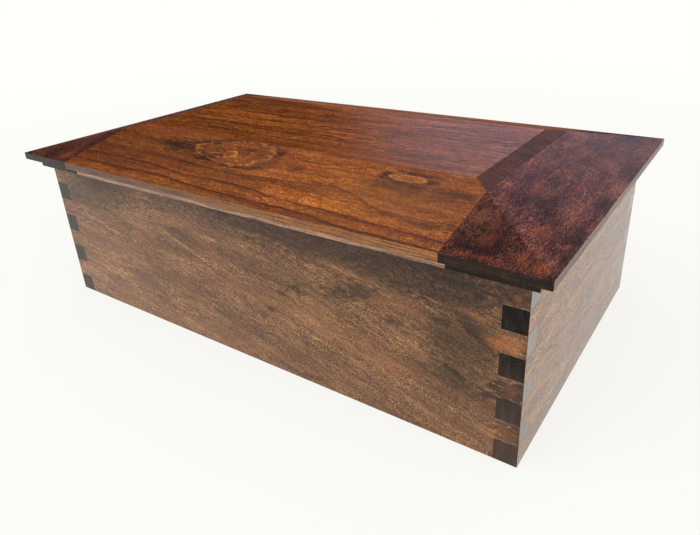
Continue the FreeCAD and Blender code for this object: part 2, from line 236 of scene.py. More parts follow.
class Bench:
    """The shader nodes of one material or world, added by short calls."""

    def __init__(self, owner: Union[bpy.types.Material, bpy.types.World]) -> None:
        """Clears the nodes of a material or a world, ready for new ones.

        Args:
            owner: The material or the world.
        """
        owner.use_nodes = True
        self.owner = owner
        self.tree = owner.node_tree
        self.tree.nodes.clear()

    @classmethod
    def for_material(cls, name: str) -> "Bench":
        """Starts a new material."""
        return cls(bpy.data.materials.new(name))

    def node(self, kind: str, **settings: object) -> bpy.types.Node:
        """Adds a node.

        Args:
            kind: The node's Blender type.
            settings: Its properties by name.

        Returns:
            The node.
        """
        made = self.tree.nodes.new(kind)
        for key, value in settings.items():
            setattr(made, key, value)
        return made

    def feed(self, socket: bpy.types.NodeSocket, value: Union[Signal, Tint, Vector, float]) -> None:
        """Links a signal or a socket into an input, or writes a plain value there.

        Args:
            socket: The input.
            value: What goes into it.
        """
        if isinstance(value, Signal):
            self.tree.links.new(value.socket, socket)
        elif isinstance(value, bpy.types.NodeSocket):
            self.tree.links.new(value, socket)
        else:
            socket.default_value = value

    def math(self, operation: str, *inputs: Number, clamp: bool = False) -> Signal:
        """Adds one Math node.

        Args:
            operation: Its operation.
            inputs: Its inputs, in order.
            clamp: True to keep the result within 0 and 1.

        Returns:
            The node's result.
        """
        node = self.node("ShaderNodeMath", operation=operation, use_clamp=clamp)
        for socket, value in zip(node.inputs, inputs):
            self.feed(socket, value)
        return Signal(self, node.outputs[0])

    def vector(self, x: Number, y: Number, z: Number = 0.0) -> bpy.types.NodeSocket:
        """Joins three numbers into a vector.

        Args:
            x: The first number.
            y: The second number.
            z: The third number.

        Returns:
            The vector.
        """
        node = self.node("ShaderNodeCombineXYZ")
        for socket, value in zip(node.inputs, (x, y, z)):
            self.feed(socket, value)
        return node.outputs[0]

    def split(self, vector: bpy.types.NodeSocket) -> tuple[Signal, Signal, Signal]:
        """Takes a vector apart.

        Args:
            vector: The vector.

        Returns:
            Its three numbers.
        """
        node = self.node("ShaderNodeSeparateXYZ")
        self.feed(node.inputs[0], vector)
        return tuple(Signal(self, socket) for socket in node.outputs)

    def length(self, vector: bpy.types.NodeSocket) -> Signal:
        """Measures a vector.

        Args:
            vector: The vector.

        Returns:
            Its length.
        """
        node = self.node("ShaderNodeVectorMath", operation="LENGTH")
        self.feed(node.inputs[0], vector)
        return Signal(self, node.outputs["Value"])

    def noise(self, x: Number, y: Number, z: Number = 0.0, detail: float = 2.0,
              rough: float = 0.5) -> Signal:
        """Soft noise whose lumps are about 1 across, from about -1 to 1 with a mean of 0.

        Args:
            x: First coordinate, already divided by the lumps' size.
            y: Second coordinate.
            z: Third coordinate.
            detail: How many finer layers it has.
            rough: How strong each finer layer is.

        Returns:
            The noise.
        """
        node = self.node("ShaderNodeTexNoise")
        self.feed(node.inputs["Vector"], self.vector(x, y, z))
        node.inputs["Scale"].default_value = 1.0
        node.inputs["Detail"].default_value = detail
        node.inputs["Roughness"].default_value = rough
        return (Signal(self, node.outputs["Fac"]) - NOISE_MEAN) * NOISE_SPREAD

    def curve(self, value: Number, points: Iterable[Point]) -> Signal:
        """A smooth curve through points, flat past its ends.

        Args:
            value: Where along the curve.
            points: The curve's points, in rising order of their first number.

        Returns:
            The curve's second number there.
        """
        points = list(points)
        start, end = points[0][0], points[-1][0]
        levels = [level for _, level in points]
        low = min(levels)
        high = max(*levels, low + LEAST_RISE)
        node = self.node("ShaderNodeFloatCurve")
        line = node.mapping.curves[0]
        for index, (at, level) in enumerate(points):
            corner = ((at - start) / (end - start), (level - low) / (high - low))
            if 0 < index < len(points) - 1:
                line.points.new(*corner)
            else:
                line.points[0 if index == 0 else -1].location = corner
        node.mapping.update()
        self.feed(node.inputs["Value"], ((value - start) / (end - start)).clamped())
        return Signal(self, node.outputs["Value"]) * (high - low) + low

    def ramp(self, value: Number, stops: Iterable[tuple[float, Colour]]) -> bpy.types.NodeSocket:
        """Turns a number into a colour.

        Args:
            value: The number, 0 to 1.
            stops: Places from 0 to 1 and the colour at each.

        Returns:
            The colour.
        """
        node = self.node("ShaderNodeValToRGB")
        elements = node.color_ramp.elements
        for index, (place, colour) in enumerate(stops):
            element = elements[index] if index < 2 else elements.new(place)
            element.position = place
            element.color = colour
        self.feed(node.inputs["Fac"], value)
        return node.outputs["Color"]

    def blend(self, share: Number, under: Tint, over: Tint,
              how: str = "MIX") -> bpy.types.NodeSocket:
        """Lays one colour over another.

        Args:
            share: How much of the upper colour shows, 0 to 1.
            under: The lower colour.
            over: The upper colour.
            how: The Mix node's blend type.

        Returns:
            The blended colour.
        """
        node = self.node("ShaderNodeMix", data_type="RGBA", blend_type=how)
        self.feed(node.inputs[MIX_SHARE], share)
        self.feed(node.inputs[MIX_UNDER], under)
        self.feed(node.inputs[MIX_OVER], over)
        return node.outputs[MIX_RESULT]

    def bright(self, colour: Tint, factor: Number) -> bpy.types.NodeSocket:
        """Makes a colour brighter or darker.

        Args:
            colour: The colour.
            factor: What its brightness is multiplied by.

        Returns:
            The changed colour.
        """
        node = self.node("ShaderNodeHueSaturation")
        self.feed(node.inputs["Value"], factor)
        self.feed(node.inputs["Color"], colour)
        return node.outputs[0]

    def place(self) -> tuple[Signal, Signal, Signal]:
        """Gives the place on the part at rest.

        Returns:
            X, Y and Z in the chest's frame, in millimetres.
        """
        node = self.node("ShaderNodeTexCoord")
        x, y, z = self.split(node.outputs["Object"])
        return x * MILLIMETRES, y * MILLIMETRES, z * MILLIMETRES

    def facing(self) -> tuple[Signal, Signal, Signal]:
        """The direction that the surface faces, in the part's own frame."""
        node = self.node("ShaderNodeTexCoord")
        return self.split(node.outputs["Normal"])

    def rays(self) -> tuple[Signal, Signal]:
        """Tells the rays apart that ask for this surface.

        Returns:
            A signal that is 1 for a ray from the camera, and one that is 1 for a mirrored ray or
            one that came through something clear.
        """
        path = self.node("ShaderNodeLightPath")
        camera, glossy, clear = (Signal(self, path.outputs[key]) for key in (
            "Is Camera Ray", "Is Glossy Ray", "Is Transmission Ray"))
        return camera, glossy.most(clear)

    def close(self, shader: bpy.types.Node, kind: str = "ShaderNodeOutputMaterial") -> None:
        """Links a shader into the output.

        Args:
            shader: The shader's node.
            kind: The output node's Blender type.
        """
        output = self.node(kind)
        self.feed(output.inputs["Surface"], shader.outputs[0])

    def finish(self, colour: Tint, roughness: Number, height: Optional[Signal] = None,
               relief: float = 0.0, shine: float = 0.5, metallic: float = 0.0) -> bpy.types.Material:
        """Closes a material with a Principled shader.

        Args:
            colour: The base colour.
            roughness: The roughness.
            height: The bump's height, around 0, if the surface has relief.
            relief: How high a bump of 1 is, in metres.
            shine: The specular level.
            metallic: The metallic share.

        Returns:
            The material.
        """
        shader = self.node("ShaderNodeBsdfPrincipled")
        self.feed(shader.inputs["Base Color"], colour)
        self.feed(shader.inputs["Roughness"], roughness)
        shader.inputs["Metallic"].default_value = metallic
        shader.inputs["Specular IOR Level"].default_value = shine
        if height is not None:
            bump = self.node("ShaderNodeBump")
            bump.inputs["Strength"].default_value = 1.0
            bump.inputs["Distance"].default_value = relief
            self.feed(bump.inputs["Height"], height)
            self.feed(shader.inputs["Normal"], bump.outputs[0])
        self.close(shader)
        return self.owner


# ---------------------------------------------------------------- woods


class Grain(Enum):
    """How a board lies: the axes that run along its grain, across its face, and into it."""

    ALONG_CHEST_FLAT = "xyz"
    ALONG_CHEST_UPRIGHT = "xzy"
    ALONG_END_FLAT = "yxz"
    ALONG_END_UPRIGHT = "yzx"


@dataclass(frozen=True)
class Patch:
    """A darker or paler oval in a board's face, in millimetres along and across the board.

    A strength below 0 pales the wood. The core is the share of the oval that has the full
    strength, and ragged is how far noise pulls the rim about, in shares of the half size.
    """

    along: float
    across: float
    half_length: float
    half_width: float
    strength: float
    tilt: float = 0.0
    core: float = 0.0
    ragged: float = 0.35


@dataclass(frozen=True)
class Knot:
    """The oval trace of a branch in a board's face, in millimetres along and across the board.

    The rim's width and its wobble are shares of the half size. The taper narrows the knot's near
    end and widens its far one, and the shadow is the strength of the dark wood round it.
    """

    along: float
    across: float
    half_length: float
    half_width: float
    tilt: float = 0.0
    taper: float = 0.0
    rim: float = 0.05
    wobble: float = 0.12
    rim_strength: float = 0.7
    fill_strength: float = 0.25
    shadow: float = 0.5


@dataclass(frozen=True)
class GrowthLine:
    """One dark line of summer growth, as (along, across) points in millimetres.

    It fades out over its width to each side, and the wood darkens over the shade before it.
    """

    route: tuple[Point, ...]
    width: float = 1.6
    strength: float = 0.85
    shade: float = 9.0
    shade_strength: float = 0.3
    wobble: float = 0.7


@dataclass(frozen=True)
class Palette:
    """The colours of one stained wood.

    deep, body and pale are its figure from the darkest to the palest, line is a growth line, and
    glow a warm patch, which also pales the lid's creases, partly as a painted highlight. end_top and
    end_foot are the end grain at the top and at the foot of the chest; on the side walls the paler
    foot is painted reflection of the bright floor. runout is a slope across the grain, and edge a
    board's narrow side. dull_edge is what the edge turns to towards the left, and step the paler edge
    below its ledge, a painted highlight where the ledge catches the light. blush and gild are the two
    tints that the hue drifts between.
    """

    deep: Colour
    body: Colour
    pale: Colour
    line: Colour
    glow: Colour
    end_top: Colour
    end_foot: Colour
    runout: Colour
    edge: Colour
    dull_edge: Colour = BLACK
    step: Colour = BLACK
    blush: Colour = (1.06, 0.8, 1.15, 1.0)
    gild: Colour = (1.0, 1.02, 0.66, 1.0)


@dataclass(frozen=True)
class Figure:
    """How a wood's figure runs and how strong it is. Sizes are in millimetres."""

    ring_gap: float = 3.6
    ring_strength: float = 0.25
    band_length: float = 110.0
    band_width: float = 9.0
    band_strength: float = 0.1
    streak_length: float = 60.0
    streak_width: float = 6.0
    streak_strength: float = 0.3
    strand_length: float = 12.0
    strand_width: float = 2.0
    strand_strength: float = 0.1
    curl: float = 4.0
    bend: float = 9.0
    cloud: float = 60.0
    cloud_strength: float = 0.3
    fleck_length: float = 3.0
    fleck_width: float = 0.8
    fleck_strength: float = 0.2
    unevenness: float = 0.8
    hue: float = 0.5


@dataclass(frozen=True)
class Board:
    """One board's own cut: where its heart lay, how its grain runs, and what its face shows.

    The grain rises along the board by slope, in degrees, and bow is by how much that slope
    changes in a millimetre.
    """

    grain: Grain
    heart_across: float
    heart_depth: float
    seed: float
    slope: float = 0.0
    bow: float = 0.0
    dark: tuple[Patch, ...] = ()
    warm: tuple[Patch, ...] = ()
    knots: tuple[Knot, ...] = ()
    lines: tuple[GrowthLine, ...] = ()


@dataclass(frozen=True)
class Creases:
    """The edges of the lid's flat field, where handling rubs the finish thin and where a highlight
    along each crease is painted.

    The half length and half width are the field's, and reach is how far from an edge the paling
    goes, all in millimetres.
    """

    half_length: float
    half_width: float
    reach: float = 0.8
    strength: float = 0.3


@dataclass(frozen=True)
class Joints:
    """The finger joints' lines on a wall, which are darker where the glue took up stain.

    In millimetres: a finger's height, the case's half length, the depth of the joints from there
    with the blur of their inner end, how far a line reaches, and the width of the dark corner.
    """

    finger: float
    case_end: float
    depth: float
    blur: float = 0.4
    reach: float = 0.55
    strength: float = 0.75
    corner: float = 0.9
    corner_strength: float = 0.6


@dataclass(frozen=True)
class Lump:
    """The size of a noise's lumps, in millimetres. With a deep of 0 they run through the board."""

    length: float
    width: float
    deep: float = 0.0

    @classmethod
    def rod(cls, length: float, width: float) -> "Lump":
        """A lump that is as deep as it is wide."""
        return cls(length, width, width)


# The sizes of the noises that every wood shares, each named by what it shapes.
RAGGED_RIM = Lump(7.0, 3.5, 7.0)
HUE_DRIFT = Lump.rod(60.0, 22.0)
SHEEN_DRIFT = Lump.rod(25.0, 12.0)
SLOW_BEND = Lump(150.0, 90.0)
RING_WAVE = Lump(30.0, 14.0)
SWIRL = Lump.rod(55.0, 30.0)
RIPPLE = Lump.rod(15.0, 10.0)
UNEVEN = Lump(40.0, 16.0)
LINE_WOBBLE = Lump(9.0, 20.0)
LINE_BREAKS = Lump(22.0, 9.0)
KNOT_WOBBLE = Lump(9.0, 5.0)
HALO_BREAKS = Lump(16.0, 9.0)
RIM_BREAKS = Lump(7.0, 4.0)
RUNOUT_BAND = Lump(2.6, 9.0, 9.0)
EDGE_LAYER = Lump(30.0, 1.2, 40.0)
END_SPECK = Lump(1.2, 0.9, 5.0)
END_BLOT = Lump(14.0, 4.0)


@dataclass(frozen=True)
class Spot:
    """The place on a board: along its grain, across its face, and into it, in millimetres."""

    bench: Bench
    along: Signal
    across: Signal
    depth: Signal

    @cached_property
    def plane(self) -> bpy.types.NodeSocket:
        """The place on the board's face, as (along, across)."""
        return self.bench.vector(self.along, self.across)

    def noise(self, lump: Lump, seed: float, detail: float = 2.0, rough: float = 0.5) -> Signal:
        """Noise in lumps of one size.

        Args:
            lump: The lumps' size.
            seed: A number that picks one noise out of many. Each kind of figure adds its own to
                the board's, so that no two kinds follow each other.
            detail: How many finer layers it has.
            rough: How strong each finer layer is.

        Returns:
            The noise, from about -1 to 1.
        """
        level = self.depth / lump.deep + seed if lump.deep else seed
        return self.bench.noise(
            self.along / lump.length, self.across / lump.width, level, detail, rough)

    def oval(self, shape: Union[Patch, Knot], taper: float = 0.0) -> Signal:
        """The distance from an oval's middle, in shares of its half size.

        Args:
            shape: The oval.
            taper: How much narrower its near end is, and wider its far one, as a share.

        Returns:
            The distance, which is 1 on the oval's outline.
        """
        node = self.bench.node("ShaderNodeMapping", vector_type="TEXTURE")
        self.bench.feed(node.inputs["Vector"], self.plane)
        node.inputs["Location"].default_value = (shape.along, shape.across, 0.0)
        node.inputs["Rotation"].default_value = (0.0, 0.0, math.radians(shape.tilt))
        node.inputs["Scale"].default_value = (shape.half_length, shape.half_width, 1.0)
        if not taper:
            return self.bench.length(node.outputs[0])
        run, over, _ = self.bench.split(node.outputs[0])
        return self.bench.length(self.bench.vector(run, over / (run * taper + 1.0).most(LEAST_TAPER)))

    def patch(self, patch: Patch, ragged: Signal) -> Signal:
        """How deep inside a patch the place lies.

        Args:
            patch: The patch.
            ragged: Noise that pulls its rim in and out.

        Returns:
            The patch's strength in its core, and 0 from its rim outwards.
        """
        return (self.oval(patch) + ragged * patch.ragged).step(1.0, patch.core) * patch.strength


@dataclass(frozen=True)
class Wood:
    """A stained and oiled wood.

    relief is the height in metres of a bump of 1, of which the flecks have the share pore_relief
    and the streaks the share ridge, spread wider than their colour by ridge_spread. runout and
    edge are how much a slope across the grain and a narrow side take their own colours, and
    end_fade how far the end grain changes down to its foot. ledge is the height in millimetres of
    the step in the lid's edge, or 0 for none. sheen_drift, dull_slope and dull_far_side are added
    to the roughness, the last two on a slope across the grain and on faces to the back or the
    left, and end_polish is taken from it on end grain.
    """

    palette: Palette
    figure: Figure
    roughness: float = 0.38
    sheen_drift: float = 0.04
    shine: float = 0.4
    relief: float = 0.00012
    pore_relief: float = 0.5
    ridge: float = 0.0
    ridge_spread: float = 1.6
    runout: float = 0.0
    edge: float = 0.0
    ledge: float = 0.0
    end_polish: float = 0.12
    end_fade: float = 0.5
    dull_slope: float = 0.0
    dull_far_side: float = 0.6

    def material(self, name: str, board: Board, creases: Optional[Creases] = None,
                 joints: Optional[Joints] = None) -> bpy.types.Material:
        """Makes the material of one board.

        Args:
            name: The material's name.
            board: The board's cut.
            creases: The lid's creases, if the board has them.
            joints: The finger joints' lines, if the board has them.

        Returns:
            The material.
        """
        bench = Bench.for_material(name)
        axes = dict(zip("xyz", bench.place()))
        spot = Spot(bench, *(axes[letter] for letter in board.grain.value))
        lean = spot.along * math.tan(math.radians(board.slope))
        over = spot.across - lean - spot.along * spot.along * (board.bow / 2.0)
        leaning = replace(spot, across=over)
        ragged = spot.noise(RAGGED_RIM, board.seed, detail=3.0)
        fleck = self.flecks(leaning, board.seed)
        tone = self.tone(spot, leaning, board, fleck)
        colour = self.face(spot, board, tone, ragged)
        if creases is not None:
            # The creases pale with wear and with a painted highlight.
            colour = self.rubbed_and_highlit(bench, colour, creases, axes, ragged)
        facing = dict(zip("xyz", bench.facing()))
        colour = self.end_grain(spot, colour, board, facing, fleck, axes)
        if joints is not None:
            colour = self.joint_lines(bench, colour, joints, axes, facing, ragged)
        slope = abs(facing[board.grain.value[0]])
        far_side = facing["y"].step(*FAR_SIDE).most((facing["x"] * -1.0).step(*FAR_SIDE))
        roughness = spot.noise(SHEEN_DRIFT, 0.0) * self.sheen_drift + self.roughness
        roughness = roughness + slope.step(*SLOPED) * self.dull_slope + far_side * self.dull_far_side
        roughness = roughness - slope.step(*CUT_ACROSS) * self.end_polish
        size = self.figure
        streak = Lump(size.streak_length, size.streak_width * self.ridge_spread, size.streak_width)
        ridges = spot.noise(streak, board.seed, detail=1.0) * self.ridge
        height = fleck * self.pore_relief + ridges
        return bench.finish(colour, roughness, height, self.relief, self.shine)

    def flecks(self, leaning: Spot, seed: float) -> Signal:
        """The fine pores and rays, short along the grain.

        Args:
            leaning: The place on the board, across its leaning grain.
            seed: The board's seed.

        Returns:
            The flecks, from about -1 to 1.
        """
        size = self.figure
        pore = Lump.rod(size.fleck_length, size.fleck_width)
        ray = Lump.rod(size.fleck_length * RAY_LENGTH, size.fleck_width * RAY_WIDTH)
        fine = leaning.noise(pore, seed, rough=0.6)
        coarse = leaning.noise(ray, seed)
        return fine * PORE_SHARE + coarse * RAY_SHARE

    def tone(self, spot: Spot, leaning: Spot, board: Board, fleck: Signal) -> Signal:
        """The board's light and dark: growth rings, bands, streaks, strands, flecks and clouds.

        Args:
            spot: The place on the board.
            leaning: The same place, across its leaning grain.
            board: The board's cut.
            fleck: The board's flecks.

        Returns:
            The tone, mostly from 0 to 1.
        """
        size = self.figure
        seed = board.seed
        bench = spot.bench
        bend = spot.noise(SLOW_BEND, seed, detail=1.0) * size.bend
        wave = spot.noise(RING_WAVE, seed + 3.0) * (size.curl * RIPPLE_SHARE)
        beside_heart = spot.across - board.heart_across + bend + wave
        heart = bench.vector(beside_heart, spot.depth - board.heart_depth)
        ring = bench.length(heart) / size.ring_gap
        growth = (ring + bench.noise(ring / RINGS_ALIKE, seed) * 0.8).fraction() ** RING_SHARPNESS
        fading = bench.noise(spot.along / RING_FADE_LENGTH, ring / RING_FADE_COUNT, seed + 5.0)
        growth = growth * fading.step(*RING_FADE_RUN)
        swirl = spot.noise(SWIRL, seed) * size.curl
        ripple = spot.noise(RIPPLE, seed) * (size.curl * RIPPLE_SHARE)
        curled = replace(leaning, across=leaning.across + swirl + ripple)
        band = curled.noise(Lump.rod(size.band_length, size.band_width), seed + 6.0, detail=1.0)
        long_lump = Lump.rod(size.streak_length, size.streak_width)
        streak = curled.noise(long_lump, seed, detail=3.0, rough=0.6)
        strand = curled.noise(Lump.rod(size.strand_length, size.strand_width), seed, detail=1.0)
        cloud = spot.noise(Lump(size.cloud, size.cloud * 0.5, size.cloud), seed, detail=3.0)
        fine = strand * size.strand_strength + fleck * size.fleck_strength
        vary = curled.noise(UNEVEN, seed + 7.0).step(*UNEVEN_RUN) * size.unevenness
        fine = fine * (vary + (1.0 - size.unevenness * 0.5))
        return (band * size.band_strength + streak * size.streak_strength + fine
                + cloud * size.cloud_strength - growth * size.ring_strength + MEAN_TONE)

    def face(self, spot: Spot, board: Board, tone: Signal, ragged: Signal) -> Tint:
        """The board's face: its tone in colour, with its patches, growth lines and knots.

        Args:
            spot: The place on the board.
            board: The board's cut.
            tone: The board's light and dark.
            ragged: Noise that pulls the patches' rims about.

        Returns:
            The colour.
        """
        bench = spot.bench
        palette = self.palette
        colour = bench.ramp(tone.clamped(), (
            (0.0, palette.deep), (0.5, palette.body), (1.0, palette.pale)))
        if board.dark:
            shade = sum((spot.patch(patch, ragged) for patch in board.dark[1:]),
                        spot.patch(board.dark[0], ragged))
            colour = bench.bright(colour, bench.math("POWER", DARKEST_PATCH, shade))
        drift = spot.noise(HUE_DRIFT, board.seed + 11.0)
        for reach, tint in ((HUE_REACH, palette.blush), (-HUE_REACH, palette.gild)):
            colour = bench.blend(drift.step(0.0, reach) * self.figure.hue, colour, tint, "MULTIPLY")
        glow = bench.bright(palette.glow, tone * GLOW_RISE + GLOW_BASE)
        for patch in board.warm:
            colour = bench.blend(spot.patch(patch, ragged), colour, glow)
        for line in board.lines:
            colour = self.growth_line(spot, colour, line, board.seed)
        for knot in board.knots:
            colour = self.knot(spot, colour, knot, board.seed)
        return colour

    def growth_line(self, spot: Spot, colour: Tint, line: GrowthLine, seed: float) -> Tint:
        """Draws one growth line and the darker wood that leads up to it.

        Args:
            spot: The place on the board.
            colour: The board's colour so far.
            line: The line.
            seed: The board's seed.

        Returns:
            The colour with the line.
        """
        bench = spot.bench
        wobble = spot.noise(LINE_WOBBLE, seed + line.width, detail=3.0) * line.wobble
        above = spot.across - bench.curve(spot.along, line.route) + wobble
        patchy = spot.noise(LINE_BREAKS, seed + 9.0).step(*LINE_BREAK_RUN)
        thin = abs(above).step(line.width, 0.0) * patchy * line.strength
        shade = above.step(-line.shade, 0.0) * above.step(line.width * 0.5, 0.0) * line.shade_strength
        colour = bench.blend(shade, colour, self.palette.deep)
        return bench.blend(thin, colour, self.palette.line)

    def knot(self, spot: Spot, colour: Tint, knot: Knot, seed: float) -> Tint:
        """Draws one knot: a dark halo, a paler heart and a thin bright rim.

        Args:
            spot: The place on the board.
            colour: The board's colour so far.
            knot: The knot.
            seed: The board's seed.

        Returns:
            The colour with the knot.
        """
        bench = spot.bench
        wobble = spot.noise(KNOT_WOBBLE, seed + knot.along, detail=3.0) * knot.wobble
        distance = spot.oval(knot, knot.taper) + wobble
        halo = distance.step(*HALO_OUTSIDE) * distance.step(*HALO_INSIDE) * knot.shadow
        halo = halo * spot.noise(HALO_BREAKS, seed + 2.0).step(*HALO_BREAK_RUN)
        colour = bench.blend(halo, colour, self.palette.line)
        heart = distance.step(*KNOT_HEART) * knot.fill_strength
        colour = bench.blend(heart, colour, self.palette.glow)
        inner = abs(distance - INNER_RING).step(knot.rim, 0.0) * INNER_RING_STRENGTH
        broken = spot.noise(RIM_BREAKS, seed + 4.0).step(*RIM_BREAK_RUN)
        rim = abs(distance - 1.0).step(knot.rim, 0.0).most(inner) * broken * knot.rim_strength
        return bench.blend(rim, colour, self.palette.glow)

    def rubbed_and_highlit(self, bench: Bench, colour: Tint, creases: Creases, axes: dict[str, Signal],
               ragged: Signal) -> Tint:
        """Pales the lid's creases: partly wear from handling, and partly a painted highlight along
        them.

        Args:
            bench: The material's bench.
            colour: The board's colour so far.
            creases: The creases' places.
            axes: The place on the part by axis.
            ragged: Noise that breaks the rubbing up.

        Returns:
            The colour with its pale creases.
        """
        past_end = abs(axes["x"]) - creases.half_length
        past_side = abs(axes["y"]) - creases.half_width
        edge = abs(past_end.most(past_side)).step(creases.reach, 0.0)
        # How much each crease pales: partly wear, partly a painted highlight.
        wear_and_highlight = edge * ragged.step(*RUB_AND_HIGHLIGHT_BREAK_RUN) * creases.strength
        return bench.blend(wear_and_highlight, colour, self.palette.glow)

    def end_grain(self, spot: Spot, colour: Tint, board: Board, facing: dict[str, Signal],
                  fleck: Signal, axes: dict[str, Signal]) -> Tint:
        """Colours the slopes across the grain, the narrow sides, and the ends, which drink more stain.
        The narrow side below the lid's ledge is a painted highlight, and the side walls' ends pale
        towards their foot in painted reflection of the bright floor.

        Args:
            spot: The place on the board.
            colour: The face colour.
            board: The board's cut.
            facing: The direction that the surface faces, by axis.
            fleck: The board's flecks.
            axes: The place on the part by axis.

        Returns:
            The colour with its edges and its end grain.
        """
        bench = spot.bench
        palette = self.palette
        cut_spot = Spot(bench, spot.across, spot.depth, spot.along)
        side_spot = Spot(bench, spot.along, spot.depth, spot.across)
        slope = abs(facing[board.grain.value[0]])
        band = cut_spot.noise(RUNOUT_BAND, board.seed)
        runout = bench.bright(palette.runout, fleck * SLOPE_VARY[0] + band * SLOPE_VARY[1] + 1.0)
        colour = bench.blend(slope.step(*SLOPED) * self.runout, colour, runout)
        layer = side_spot.noise(EDGE_LAYER, board.seed, detail=3.0)
        edge = palette.edge
        if self.ledge:
            edge = bench.blend(axes["x"].step(*DULL_EDGE_RUN), edge, palette.dull_edge)
            # Below the ledge the edge takes the paler step colour, a painted highlight where the
            # ledge's lower face catches the light.
            below = axes["z"].step(self.ledge + LEDGE_BLUR, self.ledge - LEDGE_BLUR)
            edge = bench.blend(below, edge, palette.step)
        edge = bench.bright(edge, fleck * SIDE_VARY[0] + layer * SIDE_VARY[1] + 1.0)
        side = abs(facing[board.grain.value[1]]).step(*CUT_ACROSS)
        colour = bench.blend(side * self.edge, colour, edge)
        speck = cut_spot.noise(END_SPECK, board.seed)
        blot = cut_spot.noise(END_BLOT, board.seed)
        # The end grain changes from its top colour to its foot colour; on the side walls' ends, seen
        # on the front, the paler foot is painted reflection of the bright floor.
        low = axes["z"].step(*END_FADE_RUN) * self.end_fade
        mottle = speck * END_VARY[0] + blot * END_VARY[1]
        end = bench.ramp((mottle + low + END_BASE).clamped(), (
            (0.0, palette.end_top), (1.0, palette.end_foot)))
        return bench.blend(slope.step(*CUT_ACROSS), colour, end)

    def joint_lines(self, bench: Bench, colour: Tint, joints: Joints, axes: dict[str, Signal],
                    facing: dict[str, Signal], ragged: Signal) -> Tint:
        """Darkens the hairline joints between the fingers, and the corner's arris.

        Args:
            bench: The material's bench.
            colour: The wall's colour so far.
            joints: The joints' places.
            axes: The place on the part by axis.
            facing: The direction that the surface faces, by axis.
            ragged: Noise that breaks the lines up.

        Returns:
            The colour with its joint lines.
        """
        height = axes["z"] / joints.finger
        from_line = abs((height + 0.5).fraction() - 0.5) * joints.finger
        along = abs(axes["x"])
        root = joints.case_end - joints.depth
        near_end = along.step(root - joints.blur, root + joints.blur)
        line = (from_line - ragged * 0.3).step(joints.reach, 0.05) * near_end * joints.strength
        colour = bench.blend(line, colour, self.palette.end_top)
        arris = along.step(joints.case_end - joints.corner, joints.case_end - 0.2)
        arris = arris * abs(facing["y"]).step(0.5, 0.9) * joints.corner_strength
        return bench.blend(arris, colour, self.palette.line)


@dataclass(frozen=True)
class Brass:
    """Plain brass that has dulled a little. Its blots and scratches are in millimetres."""

    bright: Colour = screen_colour(196, 160, 92)
    dull: Colour = screen_colour(120, 88, 48)
    roughness: float = 0.34
    blot: float = 5.0
    scratch_length: float = 6.0
    scratch_width: float = 0.25
    relief: float = 0.00002

    def material(self, name: str) -> bpy.types.Material:
        """Makes the material.

        Args:
            name: The material's name.

        Returns:
            The material.
        """
        bench = Bench.for_material(name)
        x, y, z = bench.place()
        blot, scratch, hair = self.blot, self.scratch_length, self.scratch_width
        tarnish = bench.noise(x / blot, y / blot, z / blot, detail=4.0, rough=0.6)
        brushed = bench.noise(x / scratch, y / hair, z / hair)
        colour = bench.ramp((tarnish * 0.35 + 0.4).clamped(), ((0.0, self.bright), (1.0, self.dull)))
        roughness = tarnish * 0.08 + brushed * 0.04 + self.roughness
        return bench.finish(colour, roughness, brushed, self.relief, metallic=1.0)


# ---------------------------------------------------------------- the chest's sub-assemblies


@dataclass(frozen=True)
class Easing:
    """Eased arrises, which catch the light. The width is in metres and the angles in degrees.

    Edges flatter than the least angle stay as they are, and faces within the flat angle of each
    other are first made one, so that the mesh's own triangles don't break the easing.
    """

    width: float
    segments: int = 2
    least_angle: float = 30.0
    flat_angle: float = 0.5
    crisp_angle: float = 5.0
    weld_gap: float = 1e-6

    def apply(self, node: bpy.types.Object) -> None:
        """Eases a CAD node's arrises with modifiers.

        Args:
            node: The CAD node's object.
        """
        weld = node.modifiers.new("joined_corners", "WELD")
        weld.merge_threshold = self.weld_gap
        flat = node.modifiers.new("whole_faces", "DECIMATE")
        flat.decimate_type = "DISSOLVE"
        flat.angle_limit = math.radians(self.flat_angle)
        bevel = node.modifiers.new("eased_edges", "BEVEL")
        bevel.width = self.width
        bevel.segments = self.segments
        bevel.limit_method = "ANGLE"
        bevel.angle_limit = math.radians(self.least_angle)
        bevel.use_clamp_overlap = True
        crisp = node.modifiers.new("crisp_faces", "EDGE_SPLIT")
        crisp.split_angle = math.radians(self.crisp_angle)


@dataclass
class Assembly:
    """A group of the chest's pieces that are dressed together, by the names of their CAD nodes."""

    nodes: dict[str, bpy.types.Object]

    def dress(self, name: str, material: bpy.types.Material, easing: Optional[Easing] = None) -> None:
        """Gives every face of a piece one material.

        Args:
            name: The piece's name.
            material: The material.
            easing: How its arrises are eased, if they are.
        """
        node = self.nodes[name]
        for slot in node.material_slots:
            slot.material = material
        if easing is not None:
            easing.apply(node)
        LOG.info("dressed %s", name)


WALL_PALETTE = Palette(
    deep=screen_colour(46, 34, 28), body=screen_colour(119, 81, 54), pale=screen_colour(186, 138, 92),
    line=screen_colour(60, 42, 34), glow=screen_colour(176, 104, 52),
    end_top=screen_colour(6, 5, 4), end_foot=screen_colour(74, 58, 46),
    runout=screen_colour(80, 58, 46), edge=screen_colour(110, 80, 58),
    blush=(1.04, 0.88, 0.95, 1.0), gild=(1.0, 1.02, 0.8, 1.0))
WALL_WOOD = Wood(WALL_PALETTE, Figure(
    ring_gap=5.0, ring_strength=0.04, band_length=90.0, band_width=9.0, band_strength=0.09,
    streak_length=34.0, streak_width=2.8, streak_strength=0.11,
    strand_length=8.0, strand_width=1.0, strand_strength=0.15, curl=4.0,
    cloud=70.0, cloud_strength=0.09, fleck_length=1.8, fleck_width=0.95, fleck_strength=0.4,
    unevenness=1.0, hue=0.6),
    roughness=0.19, shine=0.33, relief=0.00005)

